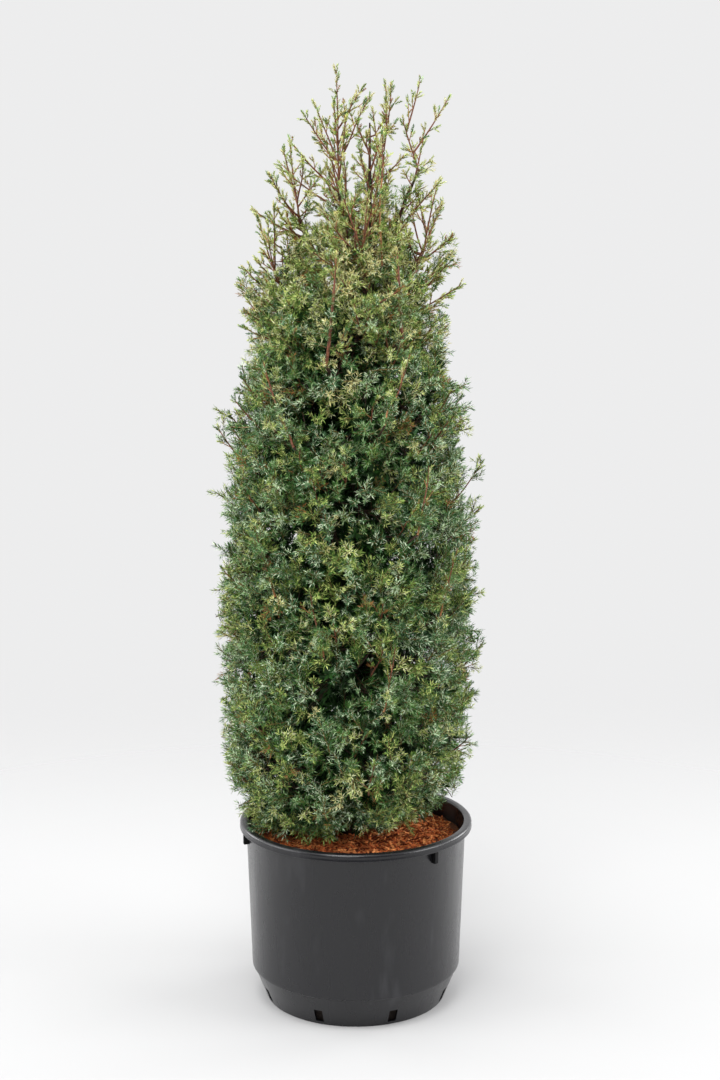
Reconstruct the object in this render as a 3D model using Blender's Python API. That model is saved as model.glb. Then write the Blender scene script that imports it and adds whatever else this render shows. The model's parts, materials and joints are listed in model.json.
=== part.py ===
"""Columnar juniper in a round nursery pot, as separate named solids.

Metres, +Z up. The origin is the centre of the pot's flat underside, and -Y is the front.
The trunk stands on the mulch, and boughs leave it for the masses of foliage round it.
Lower masses form rings round a bare core, and upper ones are plumes on tall leaders.
"""

import math

import bmesh
import bpy
from mathutils import Vector, noise
from mathutils.bvhtree import BVHTree

# Pot, turned from a profile of radius and height
POT_HEIGHT = 0.246
LIP_RADIUS = 0.1555
CREST_RADIUS = 0.1510
WALL_TOP_RADIUS = 0.1472
BAND_RADIUS = 0.1400
BAND_HEIGHT = 0.0460
FOOT_RADIUS = 0.1210
LIP_DROP = 0.0100
FLANGE_DROP = 0.0055
WALL = 0.0030
TURN_STEPS = 36

# Drain slots round the foot, and hooking lugs under the lip
DRAIN_COUNT = 8
DRAIN_FIRST_DEG = 22.5
DRAIN_WIDTH = 0.0115
DRAIN_LOW = 0.0045
DRAIN_HIGH = 0.0225
LUG_COUNT = 3
LUG_FIRST_DEG = 43.0
LUG_WIDTH = 0.0060
LUG_HEIGHT = 0.0210
LUG_REACH = 0.0058

# Root ball and mulch inside the pot
GAP = 0.0004
BALL_TOP = 0.208
MULCH_EDGE = 0.219
MULCH_TOP = 0.227
MULCH_FLAT_RADIUS = 0.036

# Trunk, from its flat cut on the mulch to its pruned tip
TRUNK_FOOT = Vector((-0.004, 0.002, MULCH_TOP + GAP))
TRUNK_STATIONS = (
    (TRUNK_FOOT, 0.0240),
    (Vector((-0.0045, 0.002, 0.238)), 0.0190),
    (Vector((-0.005, 0.001, 0.262)), 0.0158),
    (Vector((-0.006, 0.002, 0.400)), 0.0142),
    (Vector((-0.001, 0.001, 0.600)), 0.0120),
    (Vector((0.007, 0.002, 0.800)), 0.0086),
    (Vector((0.014, 0.000, 0.950)), 0.0056),
    (Vector((0.018, 0.000, 1.060)), 0.0036),
    (Vector((0.018, 0.000, 1.159)), 0.0021),
)
TRUNK_SIDES = 12

# Crown envelope: height, half width, and how far the crown's axis lies from the pot's in X and Y
CROWN_STATIONS = (
    (0.240, 0.112, -0.034, 0.014),
    (0.275, 0.144, -0.022, 0.006),
    (0.320, 0.168, -0.014, 0.000),
    (0.450, 0.175, -0.014, 0.000),
    (0.600, 0.171, -0.012, 0.000),
    (0.750, 0.160, -0.010, 0.000),
    (0.850, 0.147, -0.008, 0.000),
    (0.950, 0.134, -0.005, 0.000),
    (1.020, 0.116, -0.002, 0.000),
    (1.080, 0.098, 0.000, 0.000),
)
CORE_RADIUS = 0.046
CROWN_FLOOR = POT_HEIGHT + 0.002
HALF_SPACE_BETWEEN = 0.0015
UNEVENNESS = 0.18
WALL_UNEVENNESS = 0.16
OUTLINE_UNEVENNESS = 0.16

# Rings of foliage: name, count, first azimuth, height of centres, ring radius, half height,
# and the radius of the boughs
RINGS = (
    ("foot", 5, 18.0, 0.338, 0.106, 0.150, 0.0060),
    ("low", 5, 20.0, 0.532, 0.110, 0.150, 0.0060),
    ("middle", 5, 51.0, 0.728, 0.102, 0.150, 0.0048),
    ("high", 4, 4.0, 0.912, 0.082, 0.140, 0.0042),
)
RING_HALF_WIDTH = 0.108
RING_HALF_DEPTH = 0.095
RING_STAGGER = 0.044
BOUGH_ENTRY = 0.020
BOUGH_TAPER = 0.65
BOUGH_RISES = (0.149, 0.146, 0.153, 0.128, 0.050)

# Plumes: name, centre, half sizes, leader's radius, and where it leaves the trunk and passes
PLUMES = (
    ("left_tall", (-0.021, -0.004, 1.120), (0.040, 0.036, 0.098), 0.0052,
     0.899, ((-0.008, -0.018, 0.950), (-0.012, -0.008, 1.020))),
    ("centre", (0.038, 0.016, 1.136), (0.024, 0.028, 0.074), 0.0034,
     0.714, ((0.022, 0.013, 1.040),)),
    ("right_tall", (0.080, -0.002, 1.136), (0.038, 0.030, 0.078), 0.0048,
     0.732, ((0.031, 0.017, 0.900), (0.052, 0.007, 1.030))),
    ("left_low", (-0.072, 0.012, 1.080), (0.040, 0.042, 0.080), 0.0050,
     0.646, ((-0.024, 0.022, 0.880), (-0.052, 0.018, 0.990))),
    ("right_low", (0.086, 0.008, 1.030), (0.040, 0.046, 0.074), 0.0048,
     0.620, ((0.033, -0.008, 0.800), (0.050, -0.013, 0.930))),
    ("far_left", (-0.102, -0.018, 1.000), (0.038, 0.048, 0.066), 0.0048,
     0.528, ((-0.052, -0.012, 0.740), (-0.062, -0.019, 0.890))),
    ("front", (0.006, -0.058, 1.036), (0.056, 0.046, 0.084), 0.0052,
     0.504, ((0.019, -0.040, 0.780), (0.017, -0.042, 0.920))),
    ("back", (0.010, 0.066, 1.040), (0.060, 0.048, 0.090), 0.0052,
     0.599, ((0.015, 0.035, 0.840), (0.016, 0.034, 0.940))),
)
PLUME_POINT = 1.45
LEADER_TAPER = 0.44
LEADER_ENTRY = 0.50

# Lumps of a mass: noise frequency of the large and small lumps, and of the hollows in its walls
LARGE_LUMPS = 2.1
SMALL_LUMPS = 4.7
HOLLOWS = 2.6
SHARP_EDGE_DEG = 40

# Mesh fineness
LIMB_SIDES = 6
LIMB_STEPS = 5
MASS_AROUND = 12
MASS_RINGS = 8

COLOURS = {
    "pot_plastic": ((0.045, 0.045, 0.048), 0.48),
    "root_ball": ((0.060, 0.035, 0.020), 0.95),
    "bark_mulch": ((0.330, 0.095, 0.035), 0.92),
    "bark": ((0.190, 0.075, 0.045), 0.85),
    "foliage": ((0.075, 0.145, 0.065), 0.70),
}


def clear_scene():
    for old in list(bpy.data.objects):
        bpy.data.objects.remove(old, do_unlink=True)


def make_materials():
    made = {}
    for name, (colour, roughness) in COLOURS.items():
        material = bpy.data.materials.new(name)
        material.use_nodes = True
        shader = material.node_tree.nodes["Principled BSDF"]
        shader.inputs["Base Color"].default_value = (*colour, 1.0)
        shader.inputs["Roughness"].default_value = roughness
        shader.inputs["Metallic"].default_value = 0.0
        made[name] = material
    return made


def add_object(name, bm, material=None, smooth=True):
    """Turns a bmesh into a named object. With no material it is a cutter, kept out of the model."""
    bmesh.ops.recalc_face_normals(bm, faces=bm.faces)
    mesh = bpy.data.meshes.new(name)
    bm.to_mesh(mesh)
    bm.free()
    if smooth:
        mesh.shade_smooth()
        mesh.set_sharp_from_angle(angle=math.radians(SHARP_EDGE_DEG))
    made = bpy.data.objects.new(name, mesh)
    bpy.context.scene.collection.objects.link(made)
    if material is None:
        made.hide_render = True
        made.display_type = "WIRE"
    else:
        mesh.materials.append(material)
    return made


def boolean(target, other, operation):
    change = target.modifiers.new(f"{operation.lower()} {other.name}", "BOOLEAN")
    change.operation = operation
    change.object = other
    change.solver = "EXACT"


def turned(name, profile, material):
    """A closed solid of revolution from a profile of (radius, height) that starts and ends on the axis."""
    bm = bmesh.new()
    points = [bm.verts.new((radius, 0.0, height)) for radius, height in profile]
    edges = [bm.edges.new(pair) for pair in zip(points, points[1:])]
    bmesh.ops.spin(bm, geom=points + edges, cent=(0, 0, 0), axis=(0, 0, 1),
                   angle=math.tau, steps=TURN_STEPS)
    bmesh.ops.remove_doubles(bm, verts=bm.verts, dist=0.00005)
    return add_object(name, bm, material)


def turned_block(name, azimuth_deg, inner, outer, width, low, high):
    """A box standing out from the axis at an azimuth measured from the front towards +X."""
    bm = bmesh.new()
    bmesh.ops.create_cube(bm, size=1.0)
    bmesh.ops.scale(bm, vec=(width, outer - inner, high - low), verts=bm.verts)
    bmesh.ops.translate(bm, vec=(0, -(outer + inner) / 2, (high + low) / 2), verts=bm.verts)
    block = add_object(name, bm, smooth=False)
    block.rotation_euler.z = math.radians(azimuth_deg)
    return block


def make_pot(material):
    lip_foot = POT_HEIGHT - LIP_DROP
    flange = POT_HEIGHT - FLANGE_DROP
    lip_inner = LIP_RADIUS - 0.8 * WALL
    outside = (
        (0.0, 0.0),
        (FOOT_RADIUS - 0.0015, 0.0),
        (FOOT_RADIUS, 0.0012),
        (BAND_RADIUS - 0.0006, BAND_HEIGHT - 0.0020),
        (BAND_RADIUS, BAND_HEIGHT + 0.0010),
        (WALL_TOP_RADIUS, flange),
    )
    lip = (
        (lip_inner, flange),
        (lip_inner, lip_foot),
        (LIP_RADIUS, lip_foot),
        (LIP_RADIUS, POT_HEIGHT - 0.0045),
        (LIP_RADIUS - 0.0016, POT_HEIGHT - 0.0012),
        (CREST_RADIUS, POT_HEIGHT),
    )
    inside = (
        (WALL_TOP_RADIUS - WALL, POT_HEIGHT - 0.0060),
        (BAND_RADIUS - WALL, BAND_HEIGHT + 0.0010),
        (FOOT_RADIUS - 0.9 * WALL, WALL),
        (0.0, WALL),
    )
    pot = turned("pot", outside + lip + inside, material)
    for k in range(LUG_COUNT):
        azimuth = LUG_FIRST_DEG + 360.0 * k / LUG_COUNT
        lug = turned_block(f"lug_shape_{k + 1}", azimuth, WALL_TOP_RADIUS - 0.0022,
                           WALL_TOP_RADIUS + LUG_REACH, LUG_WIDTH,
                           flange - LUG_HEIGHT, flange + 0.0010)
        boolean(pot, lug, "UNION")
    for k in range(DRAIN_COUNT):
        azimuth = DRAIN_FIRST_DEG + 360.0 * k / DRAIN_COUNT
        slot = turned_block(f"drain_cut_{k + 1}", azimuth, FOOT_RADIUS - 0.012,
                            BAND_RADIUS + 0.010, DRAIN_WIDTH, DRAIN_LOW, DRAIN_HIGH)
        boolean(pot, slot, "DIFFERENCE")


def make_fill(ball_material, mulch_material):
    """The root ball fills the pot, and the mulch lies on it."""
    slope = (WALL_TOP_RADIUS - BAND_RADIUS) / (POT_HEIGHT - 0.0060 - BAND_HEIGHT - 0.0010)

    def inner_radius(height):
        return BAND_RADIUS - WALL - GAP + slope * (height - BAND_HEIGHT - 0.0010)

    turned("root_ball", (
        (0.0, WALL + GAP),
        (FOOT_RADIUS - 0.9 * WALL - 2.5 * GAP, WALL + GAP),
        (inner_radius(BAND_HEIGHT + 0.0010) - GAP, BAND_HEIGHT + 0.0010),
        (inner_radius(BALL_TOP), BALL_TOP),
        (0.0, BALL_TOP),
    ), ball_material)
    turned("bark_mulch", (
        (0.0, BALL_TOP + GAP),
        (inner_radius(BALL_TOP), BALL_TOP + GAP),
        (inner_radius(MULCH_EDGE), MULCH_EDGE),
        (0.095, MULCH_EDGE + 0.0050),
        (MULCH_FLAT_RADIUS, MULCH_TOP),
        (0.0, MULCH_TOP),
    ), mulch_material)


def smooth_path(points, steps):
    """Points along a Catmull-Rom curve through the given ones, with steps between each two."""
    ends = [2 * points[0] - points[1], *points, 2 * points[-1] - points[-2]]
    path = []
    for a, b, c, d in zip(ends, ends[1:], ends[2:], ends[3:]):
        for k in range(steps):
            t = k / steps
            path.append(0.5 * (2 * b + (c - a) * t + (2 * a - 5 * b + 4 * c - d) * t * t
                               + (3 * b - a - 3 * c + d) * t ** 3))
    return [*path, points[-1]]


def tube_mesh(path, radii, sides):
    """A closed tapering tube. Its first ring is level where the path starts upwards from a flat cut."""
    bm = bmesh.new()
    rings = []
    side = Vector((1, 0, 0))
    for k, (point, radius) in enumerate(zip(path, radii)):
        ahead = (path[min(k + 1, len(path) - 1)] - path[max(k - 1, 0)]).normalized()
        side = (side - ahead * side.dot(ahead)).normalized()
        across = ahead.cross(side)
        turns = [math.tau * n / sides for n in range(sides)]
        rings.append([bm.verts.new(point + radius * (math.cos(t) * side + math.sin(t) * across))
                      for t in turns])
    for low, high in zip(rings, rings[1:]):
        for n in range(sides):
            m = (n + 1) % sides
            bm.faces.new((low[n], low[m], high[m], high[n]))
    bm.faces.new(reversed(rings[0]))
    bm.faces.new(rings[-1])
    return bm


def make_trunk(material):
    """The trunk. Returns the slightly larger sleeve that cuts its socket in what meets it."""
    points = [point for point, _ in TRUNK_STATIONS]
    radii = [radius for _, radius in TRUNK_STATIONS]
    bm = tube_mesh(points, radii, TRUNK_SIDES)
    for vert in bm.verts[:TRUNK_SIDES]:
        vert.co.z = TRUNK_FOOT.z
    add_object("trunk", bm, material)
    sleeve = tube_mesh(points, [radius + GAP for radius in radii], TRUNK_SIDES)
    return add_object("trunk_sleeve", sleeve)


def trunk_point(height):
    for (low, _), (high, _) in zip(TRUNK_STATIONS, TRUNK_STATIONS[1:]):
        if low.z <= height <= high.z:
            return low.lerp(high, (height - low.z) / (high.z - low.z))
    raise ValueError("height is off the trunk")


def make_limb(name, stations, radius, taper, material, trunk_sleeve):
    """A bough or leader that starts inside the trunk, where the trunk's sleeve cuts it to fit.
    Returns the sleeve that cuts its socket in a mass."""
    path = smooth_path(stations, LIMB_STEPS // (len(stations) - 1) + 1)
    radii = [radius * (1 - (1 - taper) * k / (len(path) - 1)) for k in range(len(path))]
    limb = add_object(name, tube_mesh(path, radii, LIMB_SIDES), material)
    boolean(limb, trunk_sleeve, "DIFFERENCE")
    longer = [*path[:-1], path[-1] + (path[-1] - path[-2]).normalized() * GAP]
    sleeve = tube_mesh(longer, [r + GAP for r in radii], LIMB_SIDES)
    return add_object(f"{name}_sleeve", sleeve)


def crown_at(height):
    """Half width of the crown and the place of its axis at a height."""
    height = min(max(height, CROWN_STATIONS[0][0]), CROWN_STATIONS[-1][0])
    for low, high in zip(CROWN_STATIONS, CROWN_STATIONS[1:]):
        if height <= high[0]:
            t = (height - low[0]) / (high[0] - low[0])
            half_width, x, y = (a + t * (b - a) for a, b in zip(low[1:], high[1:]))
            return half_width, Vector((x, y))
    raise ValueError("height is off the crown")


def outward(azimuth_deg):
    """Unit vector away from the axis, at an azimuth measured from the front towards +X."""
    turn = math.radians(azimuth_deg)
    return Vector((math.sin(turn), -math.cos(turn), 0.0))


def reach_in_crown(start, way, longest):
    """How far a point can go from start before it leaves the crown's envelope."""
    low, high = 0.0, longest
    for _ in range(18):
        middle = (low + high) / 2
        point = start + way * middle
        half_width, axis = crown_at(point.z)
        if (point.xy - axis).length < half_width:
            low = middle
        else:
            high = middle
    return low


class Mass:
    """One closed, uneven mass of foliage: a lumpy ellipsoid, kept in its own cell of the crown."""

    def __init__(self, name, centre, half_sizes, azimuth_deg, in_ring):
        self.name = name
        self.centre = Vector(centre)
        self.half_sizes = half_sizes
        self.out = outward(azimuth_deg)
        self.in_ring = in_ring

    def walls(self, others):
        """Planes that bound the cell, as (outward normal, distance from the centre)."""
        for other in others:
            if other is not self:
                apart = other.centre - self.centre
                yield apart.normalized(), apart.length / 2 - HALF_SPACE_BETWEEN
        yield Vector((0, 0, -1)), self.centre.z - CROWN_FLOOR
        if self.in_ring:
            yield -self.out, self.centre.xy.length - CORE_RADIUS

    def lump(self, way):
        """Reach of an uneven ellipsoid, which a plume draws out to a point at its top."""
        depth, width, height = self.half_sizes
        across = Vector((-self.out.y, self.out.x, 0))
        level = math.hypot(way.dot(self.out) / depth, way.dot(across) / width)
        power = 2.0 if self.in_ring or way.z < 0 else PLUME_POINT
        share = (level ** power + abs(way.z / height) ** power) ** (1 / power)
        large = noise.noise(way * LARGE_LUMPS + 9 * self.centre)
        small = noise.noise(way * SMALL_LUMPS - 7 * self.centre)
        return (1 + UNEVENNESS * (large + 0.5 * small)) / share

    def make(self, others, sleeves, material):
        bm = bmesh.new()
        bmesh.ops.create_uvsphere(bm, u_segments=MASS_AROUND, v_segments=MASS_RINGS, radius=1.0)
        walls = list(self.walls(others))
        for vert in bm.verts:
            way = vert.co.normalized()
            reach = self.lump(way)
            limit = reach
            for normal, distance in walls:
                facing = way.dot(normal)
                if facing > 1e-6:
                    limit = min(limit, distance / facing)
            hollow = abs(noise.noise(way * HOLLOWS + 5 * self.centre))
            if limit < reach:
                reach = limit * (1 - WALL_UNEVENNESS * hollow)
            if self.in_ring:
                edge = reach_in_crown(self.centre, way, reach)
                if edge < reach:
                    reach = edge * (1 - OUTLINE_UNEVENNESS * hollow)
            vert.co = self.centre + way * reach
        mass = add_object(self.name, bm, material)
        for sleeve in sleeves:
            if surfaces_meet(mass, sleeve):
                boolean(mass, sleeve, "DIFFERENCE")


def ring_masses():
    """Each ring mass with the stations of its bough."""
    for ring, count, first, height, radius, half_height, bough_radius in RINGS:
        for k in range(count):
            azimuth = first + 360.0 * k / count
            centre = outward(azimuth) * radius
            centre.z = height + RING_STAGGER * math.sin(2.4 * k + 20 * height)
            half_sizes = (RING_HALF_DEPTH, RING_HALF_WIDTH, half_height)
            end = outward(azimuth) * (CORE_RADIUS + BOUGH_ENTRY)
            end.z = centre.z + 0.010
            start = trunk_point(max(end.z - BOUGH_RISES[k], 0.240 + 0.012 * k))
            bend = start.lerp(end, 0.45)
            bend.z -= 0.012
            mass = Mass(f"foliage_{ring}_{k + 1}", centre, half_sizes, azimuth, True)
            yield mass, f"bough_{ring}_{k + 1}", (start, bend, end), bough_radius, BOUGH_TAPER


def plume_masses():
    """Each plume with the stations of its leader."""
    for name, centre, (width, depth, height), radius, leaves_at, passes in PLUMES:
        foot = Vector(centre)
        foot.z -= LEADER_ENTRY * height
        stations = (trunk_point(leaves_at), *[Vector(point) for point in passes], foot)
        mass = Mass(f"foliage_{name}", centre, (depth, width, height), 0.0, False)
        yield mass, f"leader_{name}", stations, radius, LEADER_TAPER


def surfaces_meet(one, other):
    trees = [BVHTree.FromPolygons([v.co for v in obj.data.vertices],
                                  [face.vertices for face in obj.data.polygons])
             for obj in (one, other)]
    return bool(trees[0].overlap(trees[1]))


def make_crown(bark, foliage, trunk_sleeve):
    """The boughs and leaders first, then the masses, cut by every limb that passes them."""
    grown = [*ring_masses(), *plume_masses()]
    sleeves = [trunk_sleeve]
    for _, limb, stations, radius, taper in grown:
        sleeves.append(make_limb(limb, stations, radius, taper, bark, trunk_sleeve))
    masses = [mass for mass, *_ in grown]
    for mass in masses:
        mass.make(masses, sleeves, foliage)


def main():
    clear_scene()
    materials = make_materials()
    make_pot(materials["pot_plastic"])
    make_fill(materials["root_ball"], materials["bark_mulch"])
    trunk_sleeve = make_trunk(materials["bark"])
    make_crown(materials["bark"], materials["foliage"], trunk_sleeve)


main()
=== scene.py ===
"""Looks of the potted columnar juniper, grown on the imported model.

Each mass of foliage in the frame is replaced by branches that grow on from its bough or
leader, fork into twigs and end in sprays of needles near the mass's surface. The tallest
plumes are open: their leaders fan into ascending shoots. The pot, the mulch and the bark
are remade with their fine shape. Metres, +Z up, and -Y is the front.
"""

import json
import math
from collections import defaultdict, namedtuple

import bmesh
import bpy
import numpy as np
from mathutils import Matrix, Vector, noise
from mathutils.bvhtree import BVHTree

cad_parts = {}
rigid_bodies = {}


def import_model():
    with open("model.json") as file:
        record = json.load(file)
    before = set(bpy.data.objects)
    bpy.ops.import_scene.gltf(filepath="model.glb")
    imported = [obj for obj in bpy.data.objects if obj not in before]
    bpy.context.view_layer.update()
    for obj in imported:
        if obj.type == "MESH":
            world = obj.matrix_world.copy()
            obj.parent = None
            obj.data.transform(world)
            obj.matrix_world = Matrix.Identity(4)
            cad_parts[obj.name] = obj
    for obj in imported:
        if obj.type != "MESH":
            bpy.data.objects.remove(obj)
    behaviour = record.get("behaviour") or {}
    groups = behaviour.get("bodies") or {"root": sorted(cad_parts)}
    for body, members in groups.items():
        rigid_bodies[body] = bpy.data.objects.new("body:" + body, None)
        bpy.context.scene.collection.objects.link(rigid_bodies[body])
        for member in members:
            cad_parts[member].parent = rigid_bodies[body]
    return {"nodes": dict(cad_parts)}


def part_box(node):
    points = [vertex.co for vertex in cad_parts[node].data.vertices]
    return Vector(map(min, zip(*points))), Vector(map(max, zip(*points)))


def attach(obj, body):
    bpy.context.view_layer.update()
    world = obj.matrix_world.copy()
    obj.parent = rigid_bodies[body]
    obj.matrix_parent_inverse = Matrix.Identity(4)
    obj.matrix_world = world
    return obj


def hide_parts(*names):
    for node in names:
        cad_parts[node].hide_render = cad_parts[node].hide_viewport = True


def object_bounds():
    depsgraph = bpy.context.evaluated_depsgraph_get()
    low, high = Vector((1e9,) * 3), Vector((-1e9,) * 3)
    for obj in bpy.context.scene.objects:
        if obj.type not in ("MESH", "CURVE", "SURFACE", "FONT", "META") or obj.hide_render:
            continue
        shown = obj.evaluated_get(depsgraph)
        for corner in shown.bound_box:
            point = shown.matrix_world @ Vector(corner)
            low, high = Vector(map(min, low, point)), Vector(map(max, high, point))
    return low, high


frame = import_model()
cad_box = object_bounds()
nodes = frame["nodes"]
SEED = 20

# Needle sprays: the long, middle and small ones of the crown's body, buds, and coarse ones that fill the
# crown's inside in the near-black of painted shade.
# The tip share is the part of the axis that counts as its tip.
Spray = namedtuple("Spray", "length side_count side_length needle width whorl_step opening_deg "
                            "tip_share")
SPRAY_KINDS = (
    Spray(0.038, 7, 0.017, 0.0068, 0.0012, 0.0034, 62, 0.42),
    Spray(0.030, 6, 0.014, 0.0066, 0.0012, 0.0033, 62, 0.45),
    Spray(0.022, 4, 0.011, 0.0062, 0.0012, 0.0031, 60, 0.55),
    Spray(0.0090, 0, 0.000, 0.0046, 0.0016, 0.0021, 40, 1.00),
    Spray(0.050, 5, 0.026, 0.0150, 0.0036, 0.0125, 62, 0.50),
)
SMALL_KIND = 2
BUD_KIND = 3
SHADE_KIND = 4
BODY_KINDS = 3
SPRAYS_OF_A_KIND = 3

# Axis and side shoots of a spray: bend, corners and radius, and the turn between two shoots
AXIS_BEND = 0.16
AXIS_CORNERS = 7
AXIS_RADIUS = 0.00055
SIDE_BEND = -0.12
SIDE_CORNERS = 4
SIDE_RADIUS = 0.00040
GOLDEN_TURN = 2.4

# Side shoots of a spray: places along the axis, turn, lean, length and tip share
SIDE_FIRST = 0.10
SIDE_SPAN = 0.74
SIDE_PLACE = (0.2, 0.8)
SIDE_TURN = (-0.4, 0.4)
SIDE_LEAN_DEG = (32, 54)
SIDE_FULL = 1.15
SIDE_TAPER = 0.55
SIDE_SIZE = (0.8, 1.15)
SIDE_TIP_SHARE = 0.40

# Whorls of needles: least number, place in their step, and how far they close up at a tip
LEAST_WHORLS = 2
WHORL_PLACE = 0.85
WHORL_SIGHT = 0.12
TIP_CLOSING = 0.45
CLOSING_POWER = 4

# Needles of a whorl: number, spread of turn, lean and size, widest place, fold and upturned tip
NEEDLES_IN_WHORL = 3
NEEDLE_TURN = (-0.3, 0.3)
LEAN_SPREAD = (0.75, 1.25)
NEEDLE_SPREAD = (0.80, 1.15)
WIDEST_AT = 0.40
FOLD_SHARE = 0.12
UPTURN_SHARE = 0.06

# Share of each body kind in the crown's body and in its plumes
BODY_KIND_SHARES = (0.30, 0.40, 0.30)
PLUME_KIND_SHARES = (0.05, 0.30, 0.65)

# Sprays for each square metre of a mass, and the shares on the faces that look inwards
OUTER_SPRAYS = 2150
INNER_SPRAYS = 190
PLUME_SPRAYS = 1250
INNER_PLUME_SHARE = 0.5
SHADE_SPRAYS = 400
INNER_SHADE_SHARE = 0.6

# Depth of the sprays under a mass's surface, and how far it is drawn in between its clumps
LAYER_DEPTH = 0.024
INNER_LAYER_DEPTH = 0.012
CLUMP_DEPTH = 0.014
CLUMP_FREQUENCY = 30.0
CLUMP_MIDDLE = 0.5
CLUMP_CONTRAST = 1.1

# Coarse sprays that fill a mass in the near-black of painted shade: depth, greatest height, least distance
# from the outline, size
SHADE_DEPTH = (0.030, 0.060)
INNER_SHADE_DEPTH = (0.0, 0.030)
SHADE_BELOW = 0.95
SHADE_INSET = 0.050
SHADE_SIZE = (0.8, 1.2)

# Where the crown opens towards its top and frays at its outline
OPEN_ABOVE = 1.070
OPEN_FADE = 0.130
OUTLINE_ABOVE = 0.800
OUTLINE_FADE = 0.020
OUTLINE_MIDDLE = 0.5

# Sprays on one branch and on one twig, and the rounds that sort them
BRANCH_SHARE = 26
TWIG_SHARE = 4
CLUSTER_ROUNDS = 4

# Most triangles in a piece, and how far the foliage may stand out of the model's box
PIECE_TRIANGLES = 180000
PROUD_SHARE = 0.03
PROUD = 0.004

# The way up, and how upright a direction is before its cross directions start from +X
UP = np.array((0.0, 0.0, 1.0))
STEEP = 0.9

# Spread of the sprays' sizes, how much of one lies behind its place, and its half width
BODY_SIZE = (0.85, 1.15)
SMALL_SIZE = (0.8, 1.1)
BUD_SIZE = (0.7, 1.1)
SPRAY_BEHIND = 0.70
SHADE_BEHIND = 0.5
SPRAY_SPREAD = 0.45

# Headings of the sprays as shares of the way out, the way up and a random way
MASS_HEADING = (0.72, 0.66, 0.45)
JOINED_HEADING = (0.72, 0.60, 0.45)
CORE_HEADING = (0.5, 0.5, 0.7)
SHADE_HEADING = (0.0, 0.4, 1.0)
HEART_HEADING = (0.6, 0.8, 0.3)
STEM_HEADING = (0.5, 0.5, 0.6)

# Painted light of a spray, from 0 deep in the crown to 1 at its face; the coarse sprays in painted shade
# have less than none
FULL_LIGHT = 1.0
PAINTED_SHADE_LIGHT = -1.0

# Wood: radii at both ends and number of sides
BRANCH_WOOD = (0.0022, 0.0014, 4)
TWIG_WOOD = (0.0012, 0.0006, 3)
LINK_WOOD = (0.0007, 0.0005, 3)
SIDE_WOOD = (0.0008, 0.0005, 3)
HEART_WOOD = (0.0008, 0.0006, 3)
TUFT_WOOD = (0.0010, 0.0009, 3)
RISING_WOOD = (0.0017, 0.0014, 4)

# Curves of wood: how far they sag for their length, and their corners
BRANCH_CURVE = (0.18, 4)
TWIG_CURVE = (0.16, 5)
LINK_CURVE = (0.10, 3)
SHOOT_CURVE = (0.06, 8)
RISING_CURVE = (0.05, 6)
STEM_FOOT_CURVE = (0.05, 5)
STEM_CURVE = (0.0, 9)

# Branches of a mass: where they fork, how far their twigs end under its surface, and their links
FORK_SHARE = 0.62
FORK_DROP = 0.012
TWIG_INSET = 0.02
LINKED_PART = (0.55, 1.0)
JOINT_CORNER = 3

# Reading the frame's nodes: faces, ways out from the trunk, limb tips, limb rings, cast lines
LEAST_AREA = 1e-9
TRUNK_PLACE = (0.005, 0.0)
LEVEL_SHARE = 0.25
OUTWARD_FROM = 0.25
BOUGH_WEIGHT = 2.0
LIMB_TIP = 0.012
RING_STEP = 0.012
RAY_REACH = 0.4

# Outline of the crown: height, half width and its axis in X and Y
CROWN_STATIONS = (
    (0.240, 0.112, -0.034, 0.014),
    (0.275, 0.144, -0.022, 0.006),
    (0.320, 0.168, -0.014, 0.000),
    (0.450, 0.175, -0.014, 0.000),
    (0.600, 0.171, -0.012, 0.000),
    (0.750, 0.159, -0.010, 0.000),
    (0.850, 0.139, -0.010, 0.000),
    (0.900, 0.124, -0.013, 0.000),
    (0.940, 0.114, -0.015, 0.000),
    (0.970, 0.103, -0.010, 0.000),
    (1.000, 0.088, -0.004, 0.000),
    (1.040, 0.062, 0.004, 0.000),
    (1.080, 0.048, 0.004, 0.000),
    (1.160, 0.036, 0.008, 0.000),
)

# Rounded edges of the masses, whose sprays are pushed out towards the outline
EDGE_REACH = 0.055
EDGE_INSET = 0.004
EDGE_NORMAL_SHARE = 0.5

# Sprays that close the crown between its masses: places tried, span, depth, least gap to others
FILL_TRIES = 9000
FILL_SPAN = (0.262, 1.040)
FILL_DEPTH = (0.006, 0.030)
FILL_GAP = 0.0162
FILL_PROBE = 0.15
FILL_TAKEN = 0.6

# Coarse sprays in the near-black of painted shade round the trunk: number of sprays, span and share of the
# crown's width
CORE_SPRAYS = 660
CORE_SPAN = (0.250, 0.920)
CORE_REACH = (0.10, 0.70)

# Skirt over the pot's rim: number, span of azimuths from the front towards +X, distance, height
SKIRT_SPRAYS = 210
SKIRT_DEG = (-165.0, 100.0)
SKIRT_REACH = (0.060, 0.138)
SKIRT_RISE = (0.238, 0.275)
SKIRT_LEFT_DEG = -80.0
SKIRT_LIFT = 0.026
SKIRT_ASIDE = 1.8
SKIRT_NARROW = 0.22
SKIRT_SHIFT = -0.005
SKIRT_DROOP = 0.9
SKIRT_LIGHT = (0.2, 1.0)

# Dark hollows in the front of the crown: centre and radius
HOLLOWS = (
    (0.052, -0.135, 0.844, 0.024),
    (-0.020, -0.145, 0.810, 0.027),
    (0.004, -0.152, 0.720, 0.025),
    (0.030, -0.152, 0.727, 0.025),
    (0.008, -0.162, 0.478, 0.026),
    (-0.026, -0.162, 0.452, 0.028),
    (0.002, -0.152, 0.304, 0.026),
    (0.030, -0.152, 0.300, 0.027),
    (0.058, -0.145, 0.297, 0.026),
)

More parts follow.
